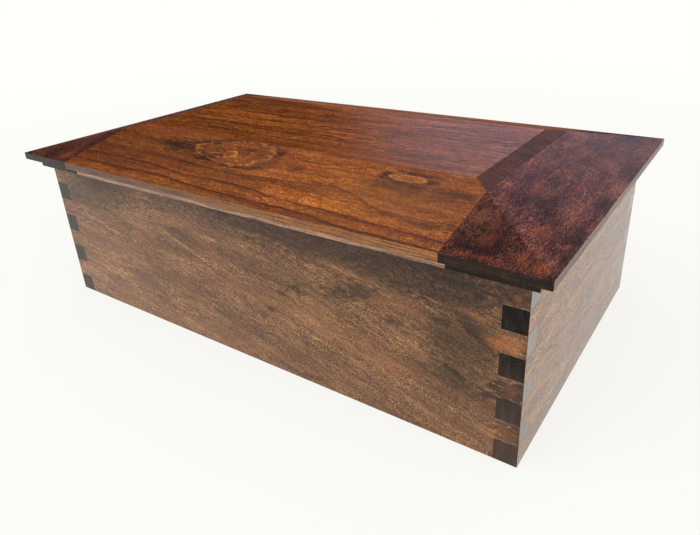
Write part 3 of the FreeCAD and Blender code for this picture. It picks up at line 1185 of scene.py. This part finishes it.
LID_PALETTE = Palette(
    deep=screen_colour(52, 20, 12), body=screen_colour(122, 60, 12), pale=screen_colour(196, 114, 46),
    line=screen_colour(56, 24, 20), glow=screen_colour(206, 130, 62),
    end_top=screen_colour(60, 40, 26), end_foot=screen_colour(96, 66, 44),
    runout=screen_colour(60, 26, 24), edge=screen_colour(138, 90, 46),
    dull_edge=screen_colour(90, 64, 44), step=screen_colour(176, 136, 110))
LID_WOOD = Wood(LID_PALETTE, Figure(
    ring_gap=5.2, ring_strength=0.08, band_length=140.0, band_width=7.5, band_strength=0.1,
    streak_length=60.0, streak_width=3.0, streak_strength=0.07, strand_length=12.0,
    strand_width=1.6, strand_strength=0.08, curl=2.0,
    cloud=60.0, cloud_strength=0.05, fleck_length=2.1, fleck_width=1.0, fleck_strength=0.31,
    unevenness=0.6, hue=0.9),
    roughness=0.28, shine=0.35, relief=0.00014, ridge=0.7, runout=0.85, edge=0.9, ledge=163.2,
    dull_slope=0.23)

MIDDLE_WOOD = replace(LID_WOOD, figure=replace(
    LID_WOOD.figure, band_strength=0.2, streak_strength=0.17, strand_strength=0.17,
    fleck_strength=0.44))

CAP_PALETTE = Palette(
    deep=screen_colour(24, 13, 18), body=screen_colour(72, 33, 27), pale=screen_colour(142, 84, 60),
    line=screen_colour(26, 18, 22), glow=screen_colour(156, 78, 42),
    end_top=screen_colour(30, 19, 13), end_foot=screen_colour(96, 68, 50),
    runout=screen_colour(50, 22, 20), edge=screen_colour(104, 82, 68),
    blush=(1.05, 0.82, 1.2, 1.0), gild=(1.04, 1.0, 0.72, 1.0))
CAP_WOOD = Wood(CAP_PALETTE, Figure(
    ring_gap=4.0, ring_strength=0.06, band_length=60.0, band_width=8.0, band_strength=0.1,
    streak_length=30.0, streak_width=3.0, streak_strength=0.1, strand_length=8.0,
    strand_width=0.9, strand_strength=0.22, curl=8.0,
    cloud=46.0, cloud_strength=0.24, fleck_length=2.2, fleck_width=0.8, fleck_strength=0.5,
    unevenness=0.5, hue=0.4),
    roughness=0.3, shine=0.15, relief=0.00014, ridge=0.6, runout=0.35, edge=0.6)

BOTTOM_PALETTE = Palette(
    deep=screen_colour(88, 62, 46), body=screen_colour(124, 88, 62), pale=screen_colour(150, 112, 78),
    line=screen_colour(70, 48, 36), glow=screen_colour(160, 112, 70),
    end_top=screen_colour(60, 46, 36), end_foot=screen_colour(90, 70, 54),
    runout=screen_colour(80, 58, 46), edge=screen_colour(110, 80, 58))
BOTTOM_WOOD = Wood(BOTTOM_PALETTE, Figure(
    ring_gap=6.0, ring_strength=0.25, streak_length=120.0, streak_width=5.0, streak_strength=0.14,
    curl=2.0, fleck_strength=0.14), roughness=0.5)


@dataclass
class Case(Assembly):
    """The four finger-jointed walls and the bottom that floats in their grooves."""

    easing: Easing = Easing(0.00018)
    board_thick: float = 0.019
    fingers: int = 8

    def joints(self) -> Joints:
        """Reads the finger joints' places off the front wall.

        Returns:
            The joints.
        """
        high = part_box("front_wall")[1]
        return Joints(finger=high.z * MILLIMETRES / self.fingers, case_end=high.x * MILLIMETRES,
                      depth=self.board_thick * MILLIMETRES)

    def long_wood(self) -> Wood:
        """Works out the front and back walls' wood, whose ends are paler and greyer than the side
        walls' and darker towards the foot.

        Returns:
            The wood.
        """
        palette = replace(WALL_PALETTE, end_top=screen_colour(124, 111, 97),
                          end_foot=screen_colour(84, 68, 54))
        return replace(WALL_WOOD, palette=palette, end_fade=0.84)

    def side_wood(self) -> Wood:
        """Works out the side walls' wood, which is a little greyer and has near black ends that pale
        towards the foot in painted reflection of the bright floor.

        Returns:
            The wood.
        """
        palette = replace(
            WALL_PALETTE, body=screen_colour(122, 90, 66), pale=screen_colour(186, 142, 102),
            end_top=screen_colour(3, 2, 1), end_foot=screen_colour(82, 64, 56))
        return replace(WALL_WOOD, palette=palette, shine=0.15, roughness=0.13, end_fade=0.84)

    def front_board(self) -> Board:
        """Lays out the front wall: dark clouds and painted shade under the lid, a painted shadow line
        along its top, and warm marks mostly on the right.

        Returns:
            The board.
        """
        return Board(
            Grain.ALONG_CHEST_UPRIGHT, heart_across=40.0, heart_depth=-60.0, seed=1.7,
            slope=-13.0, bow=-0.0004,
            # The wide dark patches along the top, under the lid, are painted shade from the lid's
            # overhang, laid over the wood's own darker clouds.
            dark=(Patch(-30.0, 152.0, 100.0, 34.0, 0.18, core=0.2, ragged=0.15),
                  Patch(8.0, 147.0, 28.0, 10.0, -0.14),
                  Patch(-56.0, 112.0, 70.0, 28.0, 0.09, ragged=0.25),
                  Patch(-150.0, 152.0, 130.0, 18.0, 0.1, core=0.2),
                  Patch(112.0, 150.0, 54.0, 12.0, 0.12),
                  Patch(140.0, 90.0, 96.0, 18.0, 0.09, ragged=0.25),
                  Patch(222.0, 56.0, 56.0, 50.0, 0.13, core=0.2, ragged=0.25),
                  # This wide patch right across the top is painted shade under the lid's overhang.
                  Patch(120.0, 160.0, 210.0, 44.0, 0.36, core=0.4, ragged=0.15),
                  Patch(226.0, 104.0, 48.0, 66.0, 0.24, core=0.35, ragged=0.2),
                  Patch(190.0, 136.0, 84.0, 17.0, 0.14, core=0.6, ragged=0.15),
                  Patch(48.0, 108.0, 74.0, 30.0, 0.14, core=0.2, ragged=0.25),
                  Patch(124.0, 110.0, 38.0, 15.0, 0.16, core=0.2),
                  # This broad pale patch is painted reflection of the bright floor, which shows more
                  # towards the left end.
                  Patch(-150.0, 18.0, 160.0, 48.0, -0.05, core=0.2, ragged=0.2),
                  Patch(-242.0, 124.0, 24.0, 24.0, 0.13, core=0.2),
                  Patch(-190.0, 138.0, 70.0, 26.0, 0.2, core=0.3, ragged=0.2),
                  Patch(-95.0, 140.0, 26.0, 9.0, 0.16),
                  Patch(-104.0, 98.0, 36.0, 12.0, 0.14, tilt=-16.0),
                  # This round pale patch at the left end is painted reflection of the bright floor.
                  Patch(-217.0, 60.0, 70.0, 70.0, -0.06, ragged=0.1),
                  Patch(-175.0, 147.0, 80.0, 8.0, 0.1, core=0.3, ragged=0.15),
                  Patch(112.0, 101.0, 20.0, 10.0, 0.2),
                  Patch(136.0, 111.0, 30.0, 9.0, 0.18, tilt=14.0),
                  Patch(176.0, 121.0, 34.0, 8.0, 0.22, tilt=-2.0),
                  Patch(206.0, 107.0, 12.0, 5.0, 0.28),
                  Patch(232.0, 106.0, 22.0, 7.0, 0.36, tilt=-38.0),
                  Patch(166.0, 93.0, 14.0, 4.5, 0.26, tilt=-6.0),
                  Patch(217.0, 67.0, 12.0, 3.4, 0.4, tilt=-26.0),
                  Patch(246.0, 57.0, 12.0, 6.0, 0.34, tilt=-14.0),
                  Patch(70.0, 94.0, 13.0, 7.0, 0.32),
                  Patch(53.0, 85.0, 10.0, 4.0, 0.3),
                  Patch(38.0, 64.0, 9.0, 5.0, 0.26),
                  Patch(79.0, 6.0, 20.0, 5.0, 0.3),
                  # The top finger's dark patch is painted shade under the lid.
                  Patch(262.0, 143.0, 16.0, 12.0, 0.22, core=0.3, ragged=0.15),
                  Patch(266.0, 67.0, 22.0, 13.0, 0.62, core=0.3),
                  Patch(268.0, 28.0, 20.0, 13.0, 0.36, core=0.3),
                  Patch(270.0, 103.0, 5.0, 14.0, 0.3),
                  Patch(113.0, 126.0, 38.0, 4.0, -0.2, tilt=-7.0, ragged=0.5),
                  Patch(-66.0, 101.0, 72.0, 3.0, -0.22, tilt=-18.4, ragged=0.5),
                  Patch(-34.0, 118.0, 18.0, 4.0, -0.2, tilt=-6.0),
                  Patch(-134.0, 14.0, 28.0, 2.4, -0.16, tilt=-7.0),
                  Patch(87.0, 51.0, 9.0, 1.6, -0.32, tilt=-6.0),
                  Patch(187.0, 42.0, 9.0, 2.2, -0.26, tilt=-16.0),
                  Patch(217.0, 32.0, 12.0, 2.2, -0.26, tilt=-16.0)),
            warm=(Patch(256.0, 104.0, 20.0, 9.0, 0.6, core=0.2),
                  Patch(235.0, 119.0, 20.0, 3.4, 0.42, tilt=-12.0),
                  Patch(180.0, 108.0, 22.0, 4.0, 0.16, tilt=-4.0),
                  Patch(67.0, 72.0, 16.0, 6.0, 0.34, tilt=-6.0),
                  Patch(4.0, 5.0, 10.0, 3.0, 0.45),
                  Patch(-79.5, 52.0, 3.2, 1.6, 0.5, core=0.3),
                  Patch(262.0, 141.0, 4.0, 5.0, 0.3),
                  Patch(262.0, 67.0, 12.0, 8.0, 0.25),
                  Patch(262.0, 28.0, 14.0, 9.0, 0.25),
                  Patch(130.0, 62.0, 90.0, 26.0, 0.16, tilt=-14.0, ragged=0.5)),
            # This dark line along the wall's top edge is painted shadow in the gap under the lid, not
            # a growth line.
            lines=(GrowthLine(((-271.0, 152.7), (271.0, 152.7)), width=1.1, strength=0.7,
                              shade_strength=0.0),))

    def build(self) -> None:
        """Dresses the walls and the bottom."""
        upright = Grain.ALONG_CHEST_UPRIGHT
        across = Grain.ALONG_END_UPRIGHT
        long = self.long_wood()
        side = self.side_wood()
        faded = replace(side.palette, end_top=screen_colour(64, 58, 54),
                        end_foot=screen_colour(92, 84, 78))
        walls = {
            "front_wall": (long, self.front_board()),
            "back_wall": (long, Board(upright, 50.0, 70.0, 4.3, slope=6.0)),
            "left_wall": (replace(side, palette=faded, end_fade=0.1),
                          Board(across, 30.0, -60.0, 7.1, slope=4.0)),
            # The right wall's pale patch near its front top is painted light where the lid's overhang
            # shades it, and its faint dark patch at the back is painted shade.
            "right_wall": (side, Board(across, 60.0, 60.0, 9.6, slope=-6.0, dark=(
                Patch(-90.0, 118.0, 80.0, 30.0, -0.08), Patch(140.0, 86.0, 40.0, 70.0, 0.06))))}
        joints = self.joints()
        for name, (wood, board) in walls.items():
            self.dress(name, wood.material(name + "_wood", board, joints=joints), self.easing)
        bottom = Board(Grain.ALONG_CHEST_FLAT, 10.0, -70.0, 12.9)
        self.dress("bottom_panel", BOTTOM_WOOD.material("bottom_panel_wood", bottom))


@dataclass
class Lid(Assembly):
    """The lid: three figured boards glued edge to edge between two dark ends."""

    easing: Easing = Easing(0.0003)
    slope_width: float = 0.092

    def creases(self) -> Creases:
        """Works the flat field's edges out from the lid's outline.

        Returns:
            The creases.
        """
        front = -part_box("lid_front_board")[0].y
        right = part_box("lid_right_end")[1].x
        return Creases(half_length=(right - self.slope_width) * MILLIMETRES,
                       half_width=(front - self.slope_width) * MILLIMETRES)

    def front_board(self) -> Board:
        """Lays out the front board: growth lines that sink towards the right, and two knots.

        Returns:
            The board.
        """
        return Board(
            Grain.ALONG_CHEST_FLAT, heart_across=-92.0, heart_depth=120.0, seed=2.4, slope=-1.5,
            dark=(Patch(-190.0, -125.0, 150.0, 70.0, 0.08, core=0.3, ragged=0.2),
                  Patch(120.0, -125.0, 170.0, 60.0, -0.08, core=0.3, ragged=0.2),
                  Patch(-56.0, -99.0, 18.0, 6.0, 0.14),
                  Patch(126.0, -108.0, 18.0, 9.0, 0.12),
                  Patch(191.0, -146.0, 14.0, 7.0, 0.12),
                  Patch(-44.0, -82.5, 44.0, 1.6, 0.45, ragged=0.2),
                  Patch(-114.0, -107.0, 44.0, 14.0, 0.44, tilt=-4.0, ragged=0.25),
                  Patch(-69.0, -132.0, 24.0, 18.0, 0.1),
                  Patch(-88.0, -108.0, 68.0, 20.0, 0.14, ragged=0.25),
                  Patch(158.0, -115.0, 62.0, 30.0, 0.18, core=0.3, ragged=0.25),
                  Patch(62.0, -159.0, 42.0, 10.0, -0.12),
                  Patch(-134.0, -161.0, 26.0, 8.0, 0.1),
                  Patch(168.0, -68.0, 44.0, 11.0, 0.16),
                  Patch(75.0, -150.0, 52.0, 16.0, -0.14),
                  Patch(35.0, -84.0, 52.0, 7.0, -0.12),
                  Patch(-76.0, -92.0, 32.0, 4.4, 0.5, tilt=17.0, ragged=0.2),
                  Patch(-60.0, -118.0, 22.0, 7.0, 0.5, tilt=-16.0),
                  Patch(-52.0, -110.5, 12.0, 1.8, 0.5, tilt=10.0),
                  Patch(11.0, -93.0, 8.0, 10.0, 0.44),
                  Patch(4.0, -119.0, 14.0, 4.5, 0.44, tilt=8.0),
                  Patch(-20.0, -124.5, 34.0, 3.0, 0.42, tilt=3.0, ragged=0.25),
                  Patch(-22.0, -95.0, 30.0, 10.0, 0.2),
                  Patch(46.0, -110.0, 16.0, 8.0, 0.2),
                  Patch(48.0, -97.0, 12.0, 2.4, 0.24),
                  Patch(126.0, -95.0, 8.0, 9.0, 0.5),
                  Patch(154.0, -88.5, 26.0, 4.0, 0.55, tilt=-4.0),
                  Patch(169.0, -96.0, 9.0, 6.0, 0.44),
                  Patch(150.0, -107.0, 30.0, 12.0, 0.36),
                  Patch(127.0, -113.0, 8.0, 3.0, 0.44, tilt=-14.0),
                  Patch(196.0, -106.0, 28.0, 9.0, 0.4),
                  Patch(155.0, -143.0, 8.0, 3.4, 0.3),
                  Patch(188.0, -148.0, 20.0, 6.0, 0.2)),
            warm=(Patch(150.0, -128.0, 90.0, 40.0, 0.2),
                  Patch(176.0, -126.0, 20.0, 5.0, 0.2),
                  Patch(50.0, -94.5, 12.0, 1.3, 0.4),
                  Patch(72.0, -97.0, 11.0, 1.3, 0.4),
                  Patch(-31.0, -109.0, 8.0, 4.5, 0.5, core=0.2),
                  Patch(-58.0, -108.5, 16.0, 1.6, 0.4, tilt=8.0),
                  Patch(-82.0, -105.0, 8.0, 2.6, 0.55, tilt=-12.0),
                  Patch(-86.0, -100.0, 6.0, 2.4, 0.6, tilt=24.0),
                  Patch(-8.0, -119.0, 16.0, 1.7, 0.6, tilt=6.0),
                  Patch(8.0, -103.0, 3.0, 7.0, 0.5)),
            knots=(Knot(-41.0, -102.0, 46.0, 18.5, tilt=1.0, taper=0.35, wobble=0.12, rim=0.07,
                        rim_strength=0.64, fill_strength=0.0, shadow=0.4),
                   Knot(-38.0, -106.5, 6.4, 5.6, rim=0.34, wobble=0.05, rim_strength=0.95,
                        fill_strength=0.0, shadow=0.5),
                   Knot(147.0, -95.8, 16.0, 4.2, rim=0.22, wobble=0.05, rim_strength=0.85,
                        fill_strength=0.12, shadow=0.6)),
            lines=(GrowthLine(((-215.0, -125.0), (-130.0, -127.0), (-80.0, -129.0), (-50.0, -132.0),
                               (0.0, -133.0), (15.0, -130.5), (60.0, -128.0), (80.0, -127.0),
                               (91.0, -123.5), (105.0, -125.5), (130.0, -133.0), (160.0, -141.0),
                               (213.0, -140.5)),
                              width=1.2, strength=0.56, shade=12.0, shade_strength=0.34),
                   GrowthLine(((-215.0, -144.0), (-130.0, -143.0), (-80.0, -146.5), (-50.0, -148.5),
                               (0.0, -147.0), (20.0, -148.0), (60.0, -153.0), (120.0, -154.5),
                               (160.0, -157.5), (213.0, -159.5)),
                              width=1.7, strength=0.74, shade=7.0, shade_strength=0.4),
                   GrowthLine(((-215.0, -158.0), (-130.0, -158.0), (-90.0, -156.5), (-50.0, -160.0),
                               (40.0, -163.0), (80.0, -163.0), (130.0, -167.5), (213.0, -169.0)),
                              width=2.0, strength=0.74, shade=6.0, shade_strength=0.4)))

    def middle_board(self) -> Board:
        """Lays out the middle board: straight dark streaks to the left, a wavy one to the right.

        Returns:
            The board.
        """
        return Board(
            Grain.ALONG_CHEST_FLAT, heart_across=6.0, heart_depth=110.0, seed=5.2,
            dark=(Patch(150.0, 0.0, 110.0, 90.0, 0.12, core=0.3, ragged=0.2),
                  Patch(-158.0, 30.0, 42.0, 16.0, 0.2, ragged=0.25),
                  Patch(-130.0, 42.0, 80.0, 34.0, 0.14, ragged=0.25),
                  Patch(152.0, -50.0, 50.0, 14.0, 0.14),
                  Patch(90.0, 6.0, 40.0, 4.0, 0.16, tilt=-3.0),
                  Patch(168.0, 30.0, 34.0, 4.0, 0.18, tilt=2.0),
                  Patch(120.0, -26.0, 60.0, 5.0, -0.14, tilt=-2.0),
                  Patch(110.0, 44.0, 50.0, 5.0, 0.14, tilt=2.0),
                  Patch(-128.0, -28.0, 9.0, 3.0, 0.3),
                  Patch(-130.0, -46.0, 70.0, 3.0, 0.22, tilt=1.0),
                  Patch(-60.0, -38.0, 80.0, 2.4, 0.2, tilt=-1.0),
                  Patch(-90.0, -56.0, 80.0, 2.6, 0.22, tilt=-1.0),
                  Patch(147.0, 8.0, 7.0, 3.0, 0.35),
                  Patch(120.0, -56.0, 50.0, 5.0, 0.2, tilt=-3.0)),
            warm=(Patch(95.0, 38.0, 7.0, 3.0, 0.3),
                  Patch(-20.0, -56.0, 60.0, 1.6, 0.25, tilt=-1.0)),
            lines=(GrowthLine(((60.0, -43.0), (100.0, -45.0), (130.0, -51.0), (160.0, -50.0),
                               (197.0, -55.0)), width=1.4, strength=0.5, shade=5.0),))

    def rear_board(self) -> Board:
        """Lays out the rear board: two faint darker patches just before its slope.

        Returns:
            The board.
        """
        return Board(
            Grain.ALONG_CHEST_FLAT, heart_across=120.0, heart_depth=100.0, seed=8.8,
            dark=(Patch(-130.0, 66.0, 80.0, 22.0, 0.14),
                  Patch(140.0, 68.0, 80.0, 8.0, 0.2)))

    def left_end(self) -> Board:
        """Lays out the left end, which has a warm patch at the front, by its joint.

        Returns:
            The board.
        """
        return Board(
            Grain.ALONG_END_FLAT, heart_across=-250.0, heart_depth=90.0, seed=3.3,
            warm=(Patch(-158.0, -226.0, 12.0, 19.0, 0.6, ragged=0.25),
                  Patch(-148.0, -224.0, 14.0, 5.0, 0.4)))

    def right_end(self) -> Board:
        """Lays out the right end: mottled dark along its slope, and warm at the front corner.

        Returns:
            The board.
        """
        return Board(
            Grain.ALONG_END_FLAT, heart_across=240.0, heart_depth=90.0, seed=6.4,
            dark=(Patch(-76.0, 252.0, 20.0, 14.0, 0.42), Patch(-104.0, 283.0, 26.0, 8.0, 0.4),
                  Patch(-130.0, 287.0, 44.0, 6.0, 0.4), Patch(-42.0, 283.0, 28.0, 8.0, 0.42),
                  Patch(-34.0, 243.0, 20.0, 7.0, 0.34), Patch(-4.0, 254.0, 18.0, 6.0, 0.36),
                  Patch(20.0, 222.0, 30.0, 10.0, 0.14),
                  Patch(90.0, 258.0, 80.0, 34.0, 0.13, ragged=0.15),
                  Patch(-58.0, 219.0, 42.0, 6.0, -0.2), Patch(-108.0, 254.0, 14.0, 14.0, -0.24),
                  Patch(-16.0, 255.5, 7.0, 1.6, -0.26, tilt=38.0),
                  Patch(-25.0, 264.5, 15.0, 1.7, -0.22, tilt=-21.0),
                  Patch(-148.0, 236.0, 24.0, 26.0, 0.16, core=0.4, ragged=0.1),
                  Patch(-113.0, 217.0, 9.0, 5.0, 0.36), Patch(-158.0, 226.0, 4.0, 9.0, 0.36),
                  Patch(-158.5, 243.0, 3.5, 10.0, 0.4), Patch(-150.0, 219.0, 10.0, 5.0, 0.2)),
            warm=(Patch(-120.0, 263.0, 20.0, 13.0, 0.34, ragged=0.2),
                  Patch(-145.0, 272.0, 10.0, 6.0, 0.2),
                  Patch(-147.0, 237.0, 13.0, 10.0, 0.42, ragged=0.25),
                  Patch(-130.0, 234.0, 9.0, 6.0, 0.22),
                  Patch(-165.5, 235.0, 3.4, 24.0, 0.5, ragged=0.25),
                  Patch(-158.0, 263.0, 6.0, 10.0, 0.42, ragged=0.25),
                  Patch(-163.0, 278.0, 6.0, 8.0, 0.5, ragged=0.25)))

    def build(self) -> None:
        """Dresses the boards and the ends."""
        pieces = (
            ("lid_front_board", LID_WOOD, self.front_board(), self.easing),
            ("lid_middle_board", MIDDLE_WOOD, self.middle_board(), None),
            ("lid_rear_board", MIDDLE_WOOD, self.rear_board(), self.easing),
            ("lid_left_end", CAP_WOOD, self.left_end(), self.easing),
            ("lid_right_end", CAP_WOOD, self.right_end(), self.easing))
        creases = self.creases()
        for name, wood, board, easing in pieces:
            self.dress(name, wood.material(name + "_wood", board, creases), easing)


@dataclass
class Hinges(Assembly):
    """The two stop hinges: leaves, pins and screws."""

    names: tuple[str, ...] = (
        "left_hinge_wall_leaf", "left_hinge_lid_leaf", "left_hinge_pin",
        "right_hinge_wall_leaf", "right_hinge_lid_leaf", "right_hinge_pin",
        "wall_leaf_screws", "lid_leaf_screws")

    def build(self) -> None:
        """Dresses the hinges and their screws."""
        brass = Brass().material("hinge_brass")
        for name in self.names:
            self.dress(name, brass)


# ---------------------------------------------------------------- the studio


@dataclass
class Camera:
    """The camera, which looks down at the chest from near its right front corner.

    The place and the clip are in metres, the angles in degrees, and the lens and the sensor in
    millimetres. The yaw counts from straight ahead to the right, and the pitch downwards.
    """

    place: Vector = field(default_factory=lambda: Vector((0.374057, -0.48217, 0.342782)))
    yaw: float = -35.077
    pitch: float = 24.761
    roll: float = -2.484
    lens: float = 30.837
    sensor: float = 36.0
    shift: Point = (-0.020173, -0.040703)
    clip: Point = (0.01, 100.0)

    def turn(self) -> Matrix:
        """Works out the camera's rotation from its yaw, pitch and roll.

        Returns:
            The rotation.
        """
        yaw, pitch, roll = (math.radians(angle) for angle in (self.yaw, self.pitch, self.roll))
        ahead = Vector((math.sin(yaw) * math.cos(pitch), math.cos(yaw) * math.cos(pitch),
                        -math.sin(pitch)))
        level = ahead.cross(Vector((0.0, 0.0, 1.0))).normalized()
        upright = level.cross(ahead)
        right = level * math.cos(roll) + upright * math.sin(roll)
        up = upright * math.cos(roll) - level * math.sin(roll)
        return Matrix((right, up, -ahead)).transposed()

    def build(self) -> None:
        """Makes the camera and gives it to the scene."""
        data = bpy.data.cameras.new("camera")
        data.sensor_width = self.sensor
        data.lens = self.lens
        data.shift_x, data.shift_y = self.shift
        data.clip_start, data.clip_end = self.clip
        camera = bpy.data.objects.new("camera", data)
        camera.matrix_world = Matrix.Translation(self.place) @ self.turn().to_4x4()
        bpy.context.scene.collection.objects.link(camera)
        bpy.context.scene.camera = camera
        LOG.info("built camera")


class LampShape(Enum):
    """A lamp's outline, and how much of its box the outline fills."""

    RECTANGLE = 1.0
    ELLIPSE = math.pi / 4.0


@dataclass(frozen=True)
class Softbox:
    """One soft lamp, aimed at the chest. Its sizes are in metres and its tilt in degrees.

    The glow is the brightness of its face. A lamp that isn't mirrored lights the chest but shows
    in no sheen.
    """

    name: str
    place: Point
    height: float
    width: float
    tall: float
    glow: float
    colour: tuple[float, float, float] = (1.0, 1.0, 1.0)
    mirrored: bool = True
    shape: LampShape = LampShape.RECTANGLE
    tilt: float = 0.0
    target: tuple[float, float, float] = (0.0, 0.0, 0.1)

    def build(self) -> None:
        """Makes the lamp."""
        data = bpy.data.lights.new(self.name, "AREA")
        data.shape = self.shape.name
        data.size = self.width
        data.size_y = self.tall
        data.energy = self.glow * math.pi * self.width * self.tall * self.shape.value
        data.color = self.colour
        lamp = bpy.data.objects.new(self.name, data)
        lamp.location = (*self.place, self.height)
        aim = Vector(self.target) - lamp.location
        spin = Matrix.Rotation(math.radians(self.tilt), 4, "Z")
        lamp.rotation_euler = (aim.to_track_quat("-Z", "Y").to_matrix().to_4x4() @ spin).to_euler()
        lamp.visible_camera = False
        lamp.visible_glossy = self.mirrored
        bpy.context.scene.collection.objects.link(lamp)
        LOG.info("built %s", self.name)


@dataclass
class Studio:
    """A plain pale floor, plain soft light and the camera.

    The floor's reach and its white run, in which it turns from nearly white to white, are in
    metres, and its haze in millimetres. The room has one level for plain light. In a mirror it
    is white at the horizon, has the ceiling's level above it, and a dark curtain to the back
    left. The curtain and the horizon are runs of a direction's share.
    """

    floor_reach: float = 20.0
    floor_squares: int = 4
    floor_colour: Colour = screen_colour(241, 239, 234)
    haze_size: float = 900.0
    haze_strength: float = 0.008
    backdrop: Colour = screen_colour(255, 255, 251)
    white_near: float = 0.8
    white_run: Point = (0.5, 2.0)
    room_level: float = 0.84
    ceiling: float = 0.56
    horizon: Point = (0.16, 0.01)
    curtain_side: Point = (0.1, 0.9)
    curtain_top: Point = (0.66, 0.48)
    softboxes: tuple[Softbox, ...] = (
        Softbox("key_softbox", (-1.2, -1.7), 1.7, 2.2, 2.0, 1.9),
        Softbox("side_softbox", (2.4, -0.6), 1.1, 2.2, 1.6, 2.7, mirrored=False),
        Softbox("left_sky_softbox", (-0.78, 2.4), 0.85, 1.52, 0.66, 1.34, (0.92, 0.76, 1.0),
                shape=LampShape.ELLIPSE, tilt=17.0),
        Softbox("right_sky_softbox", (0.73, 2.4), 0.7, 2.0, 1.1, 0.82, (0.9, 0.78, 1.0), tilt=4.0))

    def floor(self) -> None:
        """Makes the floor, which turns to plain white some way from the chest."""
        mesh = bpy.data.meshes.new("floor")
        work = bmesh.new()
        bmesh.ops.create_grid(work, x_segments=self.floor_squares, y_segments=self.floor_squares,
                              size=self.floor_reach)
        work.to_mesh(mesh)
        work.free()
        floor = bpy.data.objects.new("floor", mesh)
        bench = Bench.for_material("floor_paint")
        x, y, _ = bench.place()
        haze = bench.noise(x / self.haze_size, y / self.haze_size)
        diffuse = bench.node("ShaderNodeBsdfDiffuse")
        paint = bench.bright(self.floor_colour, haze * self.haze_strength + 1.0)
        bench.feed(diffuse.inputs["Color"], paint)
        white = bench.node("ShaderNodeEmission")
        white.inputs["Color"].default_value = self.backdrop
        away = (bench.length(bench.vector(x, y)) / MILLIMETRES).step(*self.white_run)
        camera, mirrored = bench.rays()
        far = camera.most(mirrored) * (away * (1.0 - self.white_near) + self.white_near)
        mixed = bench.node("ShaderNodeMixShader")
        for socket, value in zip(mixed.inputs, (far, diffuse.outputs[0], white.outputs[0])):
            bench.feed(socket, value)
        bench.close(mixed)
        mesh.materials.append(bench.owner)
        bpy.context.scene.collection.objects.link(floor)
        LOG.info("built floor")

    def room(self) -> None:
        """Makes the world: even soft light, white to the camera, and a dim ceiling in mirrors."""
        world = bpy.data.worlds.new("room")
        bench = Bench(world)
        bpy.context.scene.world = world
        coordinates = bench.node("ShaderNodeTexCoord")
        east, north, height = bench.split(coordinates.outputs["Generated"])
        camera, mirrored = bench.rays()
        curtain = (north - east).step(*self.curtain_side) * height.step(*self.curtain_top)
        overhead = height.step(*self.horizon) * (1.0 - self.ceiling) + self.ceiling
        mirror_level = overhead * (1.0 - curtain)
        level = mirrored * mirror_level + (1.0 - mirrored) * self.room_level
        background = bench.node("ShaderNodeBackground")
        bench.feed(background.inputs["Strength"], level.most(camera))
        bench.close(background, "ShaderNodeOutputWorld")
        LOG.info("built room")

    def build(self) -> None:
        """Makes the floor, the world, the lamps and the camera, and sets plain colour handling."""
        bpy.context.scene.view_settings.view_transform = "Standard"
        self.floor()
        self.room()
        for softbox in self.softboxes:
            softbox.build()
        Camera().build()


def main() -> None:
    """Loads the frame, builds the studio and dresses each sub-assembly."""
    logging.basicConfig(level=logging.INFO)
    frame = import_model()
    nodes = frame["nodes"]
    Studio().build()
    Case(nodes).build()
    Lid(nodes).build()
    Hinges(nodes).build()


if __name__ == "__main__":
    main()
